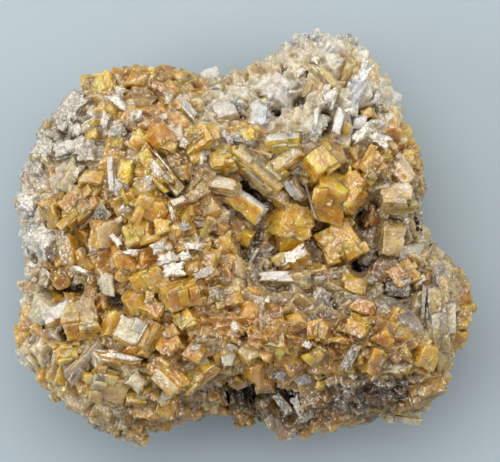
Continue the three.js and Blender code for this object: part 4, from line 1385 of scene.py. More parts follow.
# Plates and lesser crystals among them, in the same order.
CRUST_PLATES = (
    # upper left
    (-19.2, 21.4, 2.6, 2.0, 0.8, 70, 8, 10, 1.6, SILVER, CREAM, PEARLY),
    (-21.2, 17.5, 3.0, 1.8, 0.8, 70, 10, 10, 1.4, SILVER, CREAM, PEARLY),
    (-23.0, 15.2, 2.8, 2.4, 2.0, 5, 10, -20, 0.9, LEMON, GOLD, SUGARY),
    (-22.6, 17.4, 2.6, 1.6, 1.4, 15, 0, 10, 0.9, GOLD, AMBER, CLEAN),
    (-25.2, 9.9, 2.0, 0.9, 1.0, 62, 5, 0, 1.6, SILVER, CREAM, PEARLY),
    (-23.3, 8.4, 4.0, 3.4, 3.2, -4, 0, -40, 0.8, LEMON, GOLD, STRIATED),
    (-30.8, 12.6, 2.6, 1.8, 1.4, 30, 0, 0, 0.6, GOLD, ORANGE, CLEAN),
    (-18.8, 15.7, 3.4, 3.2, 2.0, 20, 10, -15, 0.8, CREAM, GREY, SUGARY),
    (-16.2, 18.0, 2.2, 1.8, 1.2, 10, 10, -10, 1.3, CREAM, SILVER, SUGARY),
    (-15.5, 20.2, 4.2, 2.6, 2.0, -8, -10, 20, 0.5, BEIGE, AMBER, CLEAN),
    (-11.7, 20.6, 2.8, 1.3, 0.8, 75, 10, 10, 1.5, SILVER, CREAM, PEARLY),
    (-12.2, 17.8, 1.4, 1.3, 0.8, 20, 10, 10, 1.3, SILVER, CREAM, PEARLY),
    (-8.6, 18.6, 4.0, 0.5, 1.2, -53, 5, 0, 1.7, SILVER, SILVER, PEARLY),
    (-7.2, 20.2, 2.6, 2.4, 2.0, 0, 10, 15, 0.8, BEIGE, BEIGE, SUGARY),
    (-9.1, 13.8, 1.9, 1.7, 0.8, 60, 12, 0, 1.4, SILVER, CREAM, PEARLY),
    (-6.6, 11.5, 2.8, 0.9, 0.8, 85, 0, 20, 1.4, SILVER, CREAM, PEARLY),
    (-9.5, 9.6, 2.8, 2.4, 2.0, 85, 10, -20, 0.9, BEIGE, ORANGE, CLEAN),
    (-14.4, 8.6, 1.8, 1.6, 0.8, 50, 10, 10, 2.0, SILVER, CREAM, PEARLY),
    (-12.3, 11.3, 5.2, 0.45, 1.2, -49, 3, 0, 2.0, SILVER, SILVER, PEARLY),
    (-17.7, 9.6, 4.4, 2.6, 2.2, 85, 5, -15, 0.9, GOLD, LEMON, SUGARY),
    (0.4, 15.2, 2.8, 3.0, 2.4, 15, 10, -15, 1.0, LEMON, GOLD, SUGARY),
    (-15.6, 14.4, 3.6, 3.0, 2.4, 40, 12, -10, 0.8, GOLD, ORANGE, SUGARY),
    (-11.4, 13.4, 2.8, 2.4, 1.8, -15, 12, -20, 0.8, ORANGE, GOLD, CLEAN),
    # pale slope between the ridge and the peak
    (-4.6, 22.2, 3.0, 2.2, 1.6, 25, 10, 10, 0.5, CREAM, BEIGE, SUGARY),
    (-1.4, 19.8, 3.2, 2.4, 1.4, -20, 10, 15, 0.6, SILVER, CREAM, SUGARY),
    (-5.4, 17.4, 2.8, 1.6, 1.4, -40, -8, 10, 0.7, CREAM, LEMON, SUGARY),
    (2.6, 17.8, 3.4, 1.4, 1.4, 50, 12, 15, 0.7, SILVER, GREY, SUGARY),
    (-2.6, 14.9, 3.0, 1.2, 1.0, -50, 8, 10, 0.9, SILVER, CREAM, SUGARY),
    # peak
    (12.6, 27.4, 3.6, 2.0, 1.6, 55, -10, 15, 0.4, SILVER, CREAM, SUGARY),
    (16.8, 23.1, 7.8, 2.3, 1.0, 62, 6, -8, 2.3, SILVER, SILVER, PEARLY),
    (12.0, 23.9, 4.4, 1.2, 1.2, -50, 5, -15, 1.8, LEMON, CREAM, CLEAN),
    (6.4, 16.2, 0.9, 4.2, 1.2, 8, 5, 5, 1.3, CREAM, LEMON, SUGARY),
    (3.4, 20.2, 2.6, 2.0, 1.2, 30, 8, 10, 1.0, CREAM, LEMON, SUGARY),
    (17.6, 26.2, 3.0, 2.2, 1.6, -50, 15, 20, 0.2, LEMON, CREAM, SUGARY),
    (9.0, 22.2, 3.0, 1.4, 1.4, 75, 10, 15, 0.9, BEIGE, OLIVE, CLEAN),
    (15.0, 24.6, 4.4, 1.6, 1.6, 76, 8, 15, 1.0, BEIGE, OLIVE, CLEAN),
    (10.5, 17.4, 4.8, 0.9, 2.0, 82, 0, -10, 1.3, CREAM, SILVER, STRIATED),
    (14.0, 17.4, 4.4, 1.8, 2.0, 76, 0, -15, 1.3, SILVER, GREY, STRIATED),
    (11.9, 19.9, 2.2, 0.8, 1.6, 5, 0, -15, 1.2, CREAM, SILVER, SUGARY),
    (14.8, 16.0, 2.8, 1.4, 1.8, 85, 0, 10, 1.0, GOLD, ORANGE, CLEAN),
    (19.8, 14.7, 5.0, 2.9, 1.4, -35, -6, -15, 1.7, SILVER, CREAM, PEARLY),
    (13.6, 26.0, 3.0, 1.6, 0.9, 60, 15, 10, 1.2, SILVER, CREAM, PEARLY),
    (17.8, 23.0, 2.6, 1.8, 0.9, -30, 10, 15, 1.2, SILVER, SILVER, PEARLY),
    (8.2, 24.8, 2.8, 1.4, 0.9, 40, 15, 10, 1.2, SILVER, SILVER, PEARLY),
    (10.4, 26.8, 2.2, 1.6, 0.9, -20, 20, 10, 1.0, SILVER, CREAM, PEARLY),
    (19.6, 20.9, 2.4, 1.4, 0.9, 70, -10, 10, 1.2, SILVER, SILVER, PEARLY),
    (15.4, 18.8, 2.2, 1.6, 0.9, 15, 10, 0, 1.5, SILVER, CREAM, PEARLY),
    (6.2, 22.0, 2.4, 1.4, 0.9, -40, 10, 10, 1.1, SILVER, SILVER, PEARLY),
    (18.2, 18.6, 2.6, 2.4, 1.6, 30, 10, -10, 0.4, ORANGE, AMBER, CLEAN),
    (21.2, 19.2, 3.8, 1.4, 1.6, -40, 10, 15, 0.6, BEIGE, CREAM, SUGARY),
    (24.2, 11.6, 4.2, 3.6, 2.4, 8, 10, -15, 0.6, LEMON, GOLD, SUGARY),
    (22.9, 12.2, 1.0, 0.9, 0.8, 30, 10, 10, 2.3, SILVER, SILVER, PEARLY),
    (24.9, 11.2, 1.0, 0.9, 0.8, 10, 10, 10, 2.3, SILVER, SILVER, PEARLY),
    # slope at the upper left
    (-27.4, 18.0, 3.6, 3.0, 1.0, -50, 34, 10, 1.5, SILVER, GREY, PEARLY),
    (-24.4, 20.9, 3.2, 2.6, 1.0, -20, 42, -8, 1.4, PEARL, SILVER, PEARLY),
    (-29.6, 15.4, 3.4, 2.8, 1.0, -20, 36, 16, 1.4, PEARL, GREY, PEARLY),
    (-25.6, 16.2, 3.0, 2.4, 1.0, -70, 22, 0, 1.5, PEARL, GREY, PEARLY),
    (-22.9, 18.9, 2.8, 2.2, 1.0, -40, 20, 22, 1.4, PEARL, CREAM, PEARLY),
    (-31.2, 10.4, 3.0, 3.4, 1.0, -12, 30, -10, 1.5, PEARL, GREY, PEARLY),
    (-28.0, 13.2, 3.0, 2.2, 1.0, -55, 26, 12, 1.4, SILVER, CREAM, PEARLY),
    # left
    (-32.4, 5.0, 4.2, 4.8, 2.4, 5, 28, 6, 2.1, PEARL, SILVER, PEARLY),
    (-30.4, -0.2, 5.8, 5.0, 2.4, -35, 20, -12, 1.9, PEARL, SILVER, PEARLY),
    (-26.2, 19.4, 5.6, 8.6, 2.2, 143, -34, 0, 1.6, PEARL, GREY, PEARLY),
    (-30.2, 13.4, 4.6, 5.0, 2.2, 156, -36, 6, 1.5, PEARL, CREAM, PEARLY),
    (-24.0, 13.0, 3.8, 4.2, 1.6, 20, 12, 10, 1.3, PEARL, SILVER, PEARLY),
    (-25.6, 4.8, 5.4, 4.0, 3.2, 40, 6, -14, 1.2, GOLD, ORANGE, CLEAN),
    (-28.6, 4.4, 4.2, 3.8, 3.0, -66, -8, 38, 1.0, GOLD, ORANGE, CLEAN),
    (-21.6, 3.3, 3.6, 3.2, 2.2, 60, 10, 10, 0.6, CREAM, BEIGE, SUGARY),
    (-27.7, -3.1, 2.8, 2.4, 2.0, 20, 10, -10, 0.6, ORANGE, AMBER, CLEAN),
    (-24.6, -2.6, 2.6, 1.4, 1.8, -70, -6, 35, 0.9, ORANGE, BEIGE, CLEAN),
    (-30.3, -4.9, 4.2, 0.8, 0.9, -48, 5, 10, 1.0, SILVER, CREAM, PEARLY),
    (-24.7, -4.9, 4.4, 1.0, 0.9, -18, 5, -10, 1.2, SILVER, CREAM, PEARLY),
    (-32.4, -4.1, 1.8, 1.3, 0.8, -30, 10, 0, 0.8, SILVER, CREAM, PEARLY),
    (-32.2, -6.2, 1.9, 1.2, 0.8, -20, 0, 10, 0.8, SILVER, LEMON, PEARLY),
    (-19.2, -0.5, 3.6, 1.2, 1.4, -47, 5, -10, 1.7, SILVER, CREAM, PEARLY),
    (-16.8, -2.3, 3.6, 1.2, 1.4, -5, 5, -10, 1.7, SILVER, CREAM, PEARLY),
    (-22.6, -1.6, 2.0, 1.6, 1.0, 10, 8, 0, 1.2, SILVER, CREAM, PEARLY),
    (-12.2, 1.4, 2.8, 3.0, 2.4, 10, 12, -15, 1.2, GOLD, ORANGE, SUGARY),
    (-9.2, 1.5, 1.8, 1.8, 1.0, 25, 10, 15, 1.3, SILVER, CREAM, SUGARY),
    (-10.9, 3.6, 3.4, 0.8, 1.2, -78, 5, 0, 1.8, SILVER, CREAM, PEARLY),
    # centre
    (-9.8, 5.3, 3.0, 1.5, 1.2, 25, 0, -25, 1.4, CREAM, AMBER, STRIATED),
    (-5.2, 4.4, 3.0, 2.8, 2.2, 30, 10, -15, 0.8, BEIGE, GOLD, CLEAN),
    (-5.9, 1.5, 4.6, 2.2, 1.6, 60, 4, 25, 1.0, OLIVE, GOLD, STRIATED),
    (-3.4, -1.0, 3.8, 3.6, 2.4, 25, -10, -15, 1.0, GOLD, ORANGE, SUGARY),
    (-4.2, 8.0, 6.6, 2.4, 1.8, -10, 4, -28, 0.9, BEIGE, OLIVE, STRIATED),
    (-13.0, -1.4, 3.4, 2.4, 0.9, 30, 10, 10, 1.6, SILVER, CREAM, PEARLY),
    (-11.6, -3.2, 3.6, 2.0, 0.9, 25, 8, 0, 1.6, SILVER, CREAM, PEARLY),
    (-10.6, -4.7, 4.4, 2.4, 0.9, 8, 8, -8, 1.6, SILVER, CREAM, PEARLY),
    (-9.0, -2.8, 2.4, 2.0, 0.8, 20, 8, 10, 1.5, SILVER, CREAM, PEARLY),
    (-8.0, -1.2, 4.8, 1.5, 0.9, -6, 8, 6, 1.6, SILVER, CREAM, PEARLY),
    (-6.4, -5.2, 3.8, 1.9, 0.9, 15, 5, 10, 1.7, SILVER, CREAM, PEARLY),
    (-4.4, -5.4, 1.3, 1.1, 0.8, -50, 10, 10, 1.4, SILVER, CREAM, PEARLY),
    (-15.2, -6.4, 4.2, 3.6, 2.6, 25, 12, 12, 0.7, GOLD, ORANGE, CLEAN),
    (-13.6, -10.6, 4.4, 3.4, 2.4, -30, 10, -15, 0.8, ORANGE, GOLD, SUGARY),
    (-18.4, -5.4, 3.2, 2.8, 2.2, 60, 8, 12, 0.8, GOLD, LEMON, SUGARY),
    (-14.2, -8.8, 1.8, 2.4, 1.4, -10, 8, 12, 1.4, ORANGE, GOLD, SUGARY),
    (1.1, -5.9, 1.0, 1.6, 1.2, 10, 10, 15, 1.2, GREY, SILVER, PEARLY),
    # lower left
    (-20.2, -12.8, 4.6, 2.4, 2.2, 78, 6, 36, 1.1, LEMON, GOLD, CLEAN),
    (-15.3, -14.1, 4.6, 0.5, 1.4, 62, 0, 0, 2.4, SILVER, SILVER, PEARLY),
    (-16.2, -21.4, 3.6, 3.0, 1.8, -40, -8, -15, 0.9, CREAM, OLIVE, CLEAN),
    (-16.6, -24.2, 4.4, 2.2, 2.0, -6, -6, -20, 0.7, GOLD, ORANGE, SUGARY),
    (-12.2, -24.0, 3.6, 2.6, 1.8, 40, -10, -15, 0.6, CREAM, LEMON, SUGARY),
    (-28.0, -20.6, 3.6, 2.8, 2.2, 80, 0, 20, 0.6, LEMON, BEIGE, SUGARY),
    (-24.0, -25.6, 4.4, 2.2, 2.0, -20, -10, -15, 0.4, GOLD, BEIGE, SUGARY),
    # lower ridge
    (-7.3, -16.2, 2.6, 1.2, 0.8, 5, 5, 15, 1.5, SILVER, CREAM, PEARLY),
    (-1.6, -13.0, 2.0, 1.3, 0.8, -60, 10, 10, 1.5, SILVER, CREAM, PEARLY),
    (9.1, -15.9, 1.9, 1.5, 0.8, -32, 8, 10, 1.6, SILVER, CREAM, PEARLY),
    (8.6, -21.0, 3.2, 1.9, 1.2, 10, -16, 10, 0.9, SILVER, GREY, SUGARY),
    (11.2, -22.2, 2.2, 2.0, 1.6, 20, -12, -10, 0.8, LEMON, GOLD, SUGARY),
    (1.0, -20.2, 1.9, 1.4, 1.0, -20, -16, 15, 1.1, CREAM, SILVER, SUGARY),
    (5.2, -20.6, 2.2, 1.8, 1.0, -10, -16, 15, 1.1, SILVER, CREAM, SUGARY),
    (15.9, -20.6, 1.6, 1.3, 0.8, -40, 0, 10, 1.4, SILVER, CREAM, PEARLY),
    (26.9, -18.3, 2.0, 1.3, 0.9, 80, 8, 10, 1.5, SILVER, CREAM, PEARLY),
    (0.6, -17.0, 3.8, 3.4, 2.4, 35, -12, -10, 0.8, BEIGE, GOLD, CLEAN),
    (4.8, -15.2, 3.6, 3.2, 2.2, -15, 10, -15, 0.8, ORANGE, AMBER, CLEAN),
    (7.4, -12.0, 3.2, 2.8, 2.0, 25, 10, -20, 0.8, GOLD, ORANGE, SUGARY),
    (16.4, -13.2, 4.2, 3.4, 2.4, -20, 12, 15, 0.8, LEMON, GOLD, SUGARY),
    (20.4, -15.0, 3.6, 3.2, 2.2, 30, 10, 12, 0.8, ORANGE, AMBER, CLEAN),
    (18.4, -6.6, 2.4, 1.5, 1.2, 8, 4, -15, 1.0, GREY, SILVER, STRIATED),
    (26.2, -6.6, 3.2, 1.6, 1.2, 38, 8, -15, 1.3, CREAM, BEIGE, PEARLY),
    (26.6, -9.8, 5.4, 0.7, 1.6, 86, 0, 0, 1.2, GREY, SILVER, STRIATED),
    (30.0, -7.6, 2.2, 1.1, 0.9, -25, 5, 0, 1.2, SILVER, CREAM, PEARLY),
    (21.0, -23.4, 3.4, 2.0, 1.4, 5, -15, 10, 0.5, GREY, BROWN, SUGARY),
)

VUG_TABLETS = (
    (-0.4, 5.2, 7.4, 3.2, 1.7, -36, -8, 20, 2.0, GOLD, SILVER, STRIATED),
    (7.6, 7.2, 4.4, 1.7, 1.7, -62, -8, 30, 2.0, GREY, BEIGE, STRIATED),
    (12.6, 6.2, 5.4, 4.8, 6.8, -12, 0, -48, 2.2, LEMON, ORANGE, CLEAN),
    (15.7, 6.9, 7.2, 4.2, 3.6, 58, 8, -22, 2.2, GOLD, ORANGE, SUGARY),
    (7.0, 2.6, 6.8, 6.2, 4.4, -12, -26, 6, 2.6, GOLD, LEMON, SUGARY),
    (7.0, -3.2, 6.4, 2.8, 2.6, 24, -6, -25, 2.0, SILVER, GOLD, PEARLY),
    (14.6, -1.0, 7.0, 6.6, 5.0, 30, 6, -12, 2.6, GOLD, ORANGE, SUGARY),
    (4.2, -6.2, 5.8, 2.1, 2.1, 2, 0, -28, 1.3, SILVER, OLIVE, STRIATED),
    (22.6, 5.8, 5.8, 3.4, 4.2, 5, 0, -30, 1.0, BEIGE, OLIVE, STRIATED),
    (21.9, -0.1, 3.8, 6.4, 3.6, -4, -14, 6, 1.4, BEIGE, OLIVE, STRIATED),
    (23.6, -6.0, 4.6, 4.4, 3.0, 30, -12, -18, 0.8, ORANGE, AMBER, CLEAN),
    (16.3, -7.5, 4.2, 3.4, 3.0, -12, 8, -28, 1.0, LEMON, GOLD, CLEAN),
    (19.2, 3.4, 3.6, 3.0, 2.0, 70, 25, 30, 0.6, AMBER, BROWN, CLEAN),
)

# Plates and lesser crystals in the vug.
VUG_PLATES = (
    (9.7, 5.6, 6.8, 0.45, 3.6, -74, 0, 0, 2.2, GREY, GREY, STRIATED),
    (6.4, 7.6, 3.6, 1.1, 1.2, -58, -8, 20, 1.9, SILVER, BEIGE, STRIATED),
    (5.0, 6.0, 3.6, 2.5, 2.2, -20, -10, -15, 2.0, BEIGE, GOLD, SUGARY),
    (6.8, -0.4, 5.4, 4.2, 3.0, 8, -8, 26, 1.9, GOLD, ORANGE, CLEAN),
    (5.0, -3.6, 2.4, 2.4, 2.0, 24, -16, 0, 2.2, LEMON, GOLD, CLEAN),
    (1.0, -3.0, 3.0, 0.6, 0.8, 60, 10, 10, 0.8, GREY, SILVER, STRIATED),
    (11.4, -6.4, 3.0, 2.2, 1.4, 10, 5, 10, 0.6, CREAM, GREY, SUGARY),
    (24.4, 2.6, 1.6, 1.2, 0.8, 30, 10, 10, 1.6, SILVER, CREAM, PEARLY),
)

# The notch's crystals take darker tones, partly painted shade under the overhang.
NOTCH_TABLETS = (
    (-0.4, -27.0, 4.0, 3.4, 3.0, 35, -20, 10, 1.5, GOLD, AMBER, CLEAN),
    (4.5, -27.5, 8.8, 3.8, 2.6, -56, -12, -18, 2.0, AMBER, OLIVE, STRIATED),
    (5.8, -25.0, 4.6, 2.0, 1.6, -50, 8, 25, 2.0, GREY, BROWN, STRIATED),
    (8.6, -25.4, 4.4, 2.6, 2.0, -60, 12, 20, 1.5, GREY, SILVER, STRIATED),
)


# ---------------------------------------------------------------- strewn crystals


def number_stream(seed: int) -> Callable[[], float]:
    """Give a repeatable stream of numbers: state becomes 1664525 * state + 1013904223 modulo 2^32.

    Args:
        seed: First state.

    Returns:
        A function that gives the next number, from 0 to 1.
    """
    state = seed

    def following() -> float:
        """Give the next number."""
        nonlocal state
        state = (state * 1664525 + 1013904223) % 4294967296
        return state / 4294967296

    return following


@dataclass(frozen=True)
class MiddlingCrystals:
    """Middle-sized crystals of the solid model, grown again at the same places. Sizes in mm."""

    reach: float = 38.0
    tries: int = 6000
    flatness: float = 0.55
    narrowest: float = 0.6
    turn_scatter: float = 40.0
    tip_scatter: float = 50.0
    roll_scatter: float = 70.0
    lift: float = 0.4
    spread: float = 0.9
    rim_spread: float = 0.95
    rim_drop: float = 5.0
    rim_lean: float = 45.0

    def crystal(self, x: float, y: float, length: float, lift: float, following: Callable) -> tuple:
        """Draw one crystal: set along or across the way outwards, leaning out near the rim.

        Args:
            x: Place across.
            y: Place up the plan.
            length: Its length.
            lift: Its middle over the crust.
            following: The stream of numbers.

        Returns:
            The nine numbers of a crystal's row.
        """
        angle = np.arctan2(y, x)
        quarter = 90 * int(4 * following())
        turn = np.degrees(angle) + quarter + self.turn_scatter * (following() - 0.5)
        spread = np.hypot(x, y) / FORM.rim_radius(angle)
        lean = self.rim_lean * spread**4 * np.cos(np.radians(quarter))
        tip = self.tip_scatter * (following() - 0.5) - lean
        width = length * (self.narrowest + (1 - self.narrowest) * following())
        roll = self.roll_scatter * (following() - 0.5)
        return (x, y, length, width, length * self.flatness, turn, tip, roll, lift)

    def on_rim(self, count: int, seed: int, smallest: float, largest: float) -> list[tuple]:
        """Draw crystals that stand out sideways all round the rim.

        Args:
            count: How many.
            seed: Seed of the stream.
            smallest: Least length.
            largest: Greatest length.

        Returns:
            Their rows.
        """
        following = number_stream(seed)
        rows = []
        for i in range(count):
            angle = (i + 0.5 * following()) / count * 2 * np.pi - np.pi
            reach = self.rim_spread * FORM.rim_radius(angle)
            length = smallest + (largest - smallest) * following()
            lift = -self.rim_drop * following()
            x, y = reach * np.cos(angle), reach * np.sin(angle)
            rows.append(self.crystal(x, y, length, lift, following))
        return rows

    def strewn(
        self, count: int, seed: int, spacing: float, sizes: tuple, placed: tuple, region: Region
    ) -> list[tuple]:
        """Strew crystals over a region, no nearer to others than the spacing.

        Args:
            count: How many at most.
            seed: Seed of the stream.
            spacing: Least distance between middles.
            sizes: Least and greatest length.
            placed: Rows of the crystals that stand there.
            region: The region.

        Returns:
            Their rows.
        """
        following = number_stream(seed)
        wanted = list(Region).index(region)
        taken = [row[:2] for row in placed]
        rows = []
        for _ in range(self.tries):
            if len(rows) == count:
                break
            x = (2 * following() - 1) * self.reach
            y = (2 * following() - 1) * self.reach
            if min(np.hypot(ax - x, ay - y) for ax, ay in taken) < spacing:
                continue
            near_rim = np.hypot(x, y) >= self.spread * FORM.rim_radius(np.arctan2(y, x))
            if region_of(x, y) != wanted or (region is Region.CRUST and near_rim):
                continue
            length = sizes[0] + (sizes[1] - sizes[0]) * following()
            rows.append(self.crystal(x, y, length, self.lift, following))
            taken.append((x, y))
        return rows

    def toned(self, rows: list[tuple], seed: int) -> tuple:
        """Give each row the tones that grow at its place, and a finish.

        Args:
            rows: Nine numbers to a crystal.
            seed: Seed of the draws.

        Returns:
            Whole rows of crystals.
        """
        draw = np.random.default_rng(seed)
        x, y = np.array([row[:2] for row in rows]).T
        cap, side = drawn_tones(x, y, draw), drawn_tones(x, y, draw)
        finish = [Finish(value) for value in draw.choice(STREWN_FINISHES, len(rows))]
        tones = list(Tone)
        return tuple(row + (tones[c], tones[s], f) for row, c, s, f in zip(rows, cap, side, finish))


@dataclass(frozen=True)
class SmallCrystals:
    """Small crystals that cover the whole crust between the placed ones. Sizes in mm."""

    spacing: float = 3.2
    smallest: float = 0.9
    largest: float = 3.8
    rarity: float = 2.2  # power of the draw: the higher, the fewer large ones
    swirl: float = 1.1  # lean that neighbours share
    tilt: float = 0.16  # lean of each one's own
    loose_share: float = 0.25  # share that lie every way
    loose_tilt: float = 0.6
    wander: float = 7.0  # degrees
    loose_wander: float = 40.0
    pale_size: float = 0.85
    vug_size: float = 0.75
    seed: int = 71
    tries_each: int = 7
    plate_share: float = 0.12
    pale_plates: float = 0.3  # more plates where the crystals are pale
    plate_size: float = 0.62
    deepest: float = -0.5  # lowest and highest middle over the skin
    proudest: float = 0.45

    def places(
        self, skin: Array, triangles: Array, placed: Crystals, draw: np.random.Generator
    ) -> tuple[Array, Array]:
        """Draw places on the skin, one to a cube of the spacing, and leave out what is taken.

        A place in a triangle is a + u(b - a) + v(c - a), with u + v folded back under 1. Holes, the
        smooth lip and the insides of placed crystals stay free.

        Args:
            skin: Points of the skin.
            triangles: Its triangles.
            placed: Crystals that stand there.
            draw: Source of the draws.

        Returns:
            Places and the skin's normals there.
        """
        facing, area = normals(skin, triangles)
        count = int(area.sum() / self.spacing**2 * self.tries_each)
        picked = np.searchsorted(np.cumsum(area) / area.sum(), draw.uniform(size=count))
        picked = picked.clip(0, len(area) - 1)
        u, v = draw.uniform(size=(2, count))
        over = u + v > 1
        u, v = np.where(over, 1 - u, u), np.where(over, 1 - v, v)
        a, b, c = (skin[triangles[picked, k]] for k in range(3))
        places = a + u[:, None] * (b - a) + v[:, None] * (c - a)
        _, kept = np.unique(np.floor(places / self.spacing) @ (1e6, 1e3, 1), return_index=True)
        places, normal = places[kept], facing[picked[kept]]
        free = hole_depth(places[:, 0], places[:, 1]) < 0.5
        free &= ~placed.hold(places + 0.5 * normal, 0.8)
        free &= lip_share(places[:, 0], places[:, 1]) < 0.2
        return places[free], normal[free]

    def sizes(self, places: Array, draw: np.random.Generator) -> tuple[Array, Array]:
        """Draw the crystals' sizes: few large ones, smaller in the vug and where crystals are pale.

        Args:
            places: Their places.
            draw: Source of the draws.

        Returns:
            Length, width and depth of each, and a mask of those that are thin plates.
        """
        x, y = places[:, 0], places[:, 1]
        count = len(places)
        length = self.smallest + (self.largest - self.smallest) * draw.uniform(size=count) ** self.rarity
        length *= 0.6 + 0.8 * smooth_noise(places, 5.0, 5)
        chance = tone_chances(x, y)
        pale = chance[:, [TONE_INDEX[tone] for tone in (CREAM, SILVER, GREY)]].sum(axis=1)
        pale = np.clip(2 * pale - 0.4, 0, 1)
        length *= 1 - (1 - self.pale_size) * pale
        length *= np.where(region_of(x, y) == 1, self.vug_size, 1)
        plate = draw.uniform(size=count) < self.plate_share + self.pale_plates * pale
        length *= np.where(plate, self.plate_size, 1)
        width = length * draw.uniform(0.55, 1.0, count)
        depth = length * np.where(plate, 0.3, draw.uniform(0.4, 0.85, count))
        return np.column_stack([length, width, depth]), plate

    def attitudes(self, places: Array, normal: Array, draw: np.random.Generator) -> Array:
        """Lean each crystal from the normal with its neighbours, and turn it about its own axis.

        Args:
            places: Their places.
            normal: The skin's normals there.
            draw: Source of the draws.

        Returns:
            Rotation matrices.
        """
        count = len(places)
        loose = draw.uniform(size=count) < self.loose_share
        swirl = np.stack([smooth_noise(places, 4.5, 7 + k) for k in range(3)], axis=1) - 0.5
        own = np.where(loose, self.loose_tilt, self.tilt)[:, None] * draw.normal(size=(count, 3))
        leaning = normal + 2 * self.swirl * swirl + own
        leaning /= np.linalg.norm(leaning, axis=1)[:, None]
        wander = np.where(loose, self.loose_wander, self.wander)
        turn = 720 * smooth_noise(places, 6.0, 3) + wander * draw.normal(size=count)
        tip, roll = 0.3 * wander * draw.normal(size=(2, count))
        return standing(leaning) @ attitude(turn, tip, roll)

    def grow(self, skin: Array, triangles: Array, placed: Crystals) -> Crystals:
        """Strew the crystals over the skin in the tones of their places; thin plates are near white, a
        painted glint.

        Args:
            skin: Points of the skin.
            triangles: Its triangles.
            placed: Crystals that stand there.

        Returns:
            The small crystals.
        """
        draw = np.random.default_rng(self.seed)
        places, normal = self.places(skin, triangles, placed, draw)
        size, plate = self.sizes(places, draw)
        turned = self.attitudes(places, normal, draw)
        x, y, count = places[:, 0], places[:, 1], len(places)
        cap, side = drawn_tones(x, y, draw), drawn_tones(x, y, draw)
        side = np.where(draw.uniform(size=count) < 0.5, cap, side)
        # thin plates get near-white caps: painted glints
        cap = np.where(plate & (cap != TONE_INDEX[BROWN]), TONE_INDEX[SILVER], cap)
        finish = draw.choice(STREWN_FINISHES, count)
        bright = draw.uniform(0.9, 1.1, (count, 1))
        return Crystals(
            places + normal * draw.uniform(self.deepest, self.proudest, count)[:, None],
            size / 2,
            turned,
            PALETTE[cap] * bright,
            PALETTE[side] * bright,
            np.where(plate, PEARLY.value, finish),
        )


# ---------------------------------------------------------------- materials


def add_node(tree: Tree, kind: str, inputs: dict | None = None, **settings) -> Node:
    """Add a shader node, set its own settings, and fill or link its inputs.

    Args:
        tree: The material's node tree.
        kind: The node's type, without "ShaderNode".
        inputs: A value, an output socket, or a node that stands for its first output, for each
            input by name or number.
        **settings: Properties of the node.

    Returns:
        The node.
    """
    node = tree.nodes.new(f"ShaderNode{kind}")
    for name, value in settings.items():
        setattr(node, name, value)
    for socket, value in (inputs or {}).items():
        if isinstance(value, Node):
            value = value.outputs[0]
        if isinstance(value, Socket):
            tree.links.new(value, node.inputs[socket])
        else:
            node.inputs[socket].default_value = value
    return node


def new_material(name: str) -> tuple[Material, Tree]:
    """Start a material.

    Args:
        name: Its name.

    Returns:
        The material and its empty tree.
    """
    material = bpy.data.materials.new(name)
    material.use_nodes = True
    material.node_tree.nodes.clear()
    return material, material.node_tree


def dress(tree: Tree, inputs: dict) -> None:
    """End a material with its Principled shader and the output."""
    shader = add_node(tree, "BsdfPrincipled", inputs)
    add_node(tree, "OutputMaterial", {"Surface": shader})


def rgba(code: str) -> tuple[float, ...]:
    """Linear colour of an sRGB hex value with full alpha, for a socket."""
    return (*linear(code), 1.0)


def per_metre(width: float) -> float:
    """Scale of a pattern whose cells are so many millimetres wide, in metres."""
    return 1 / (width * MM)


MIX_A, MIX_B, MIX_OUT = 6, 7, 2  # colour sockets of a Mix node


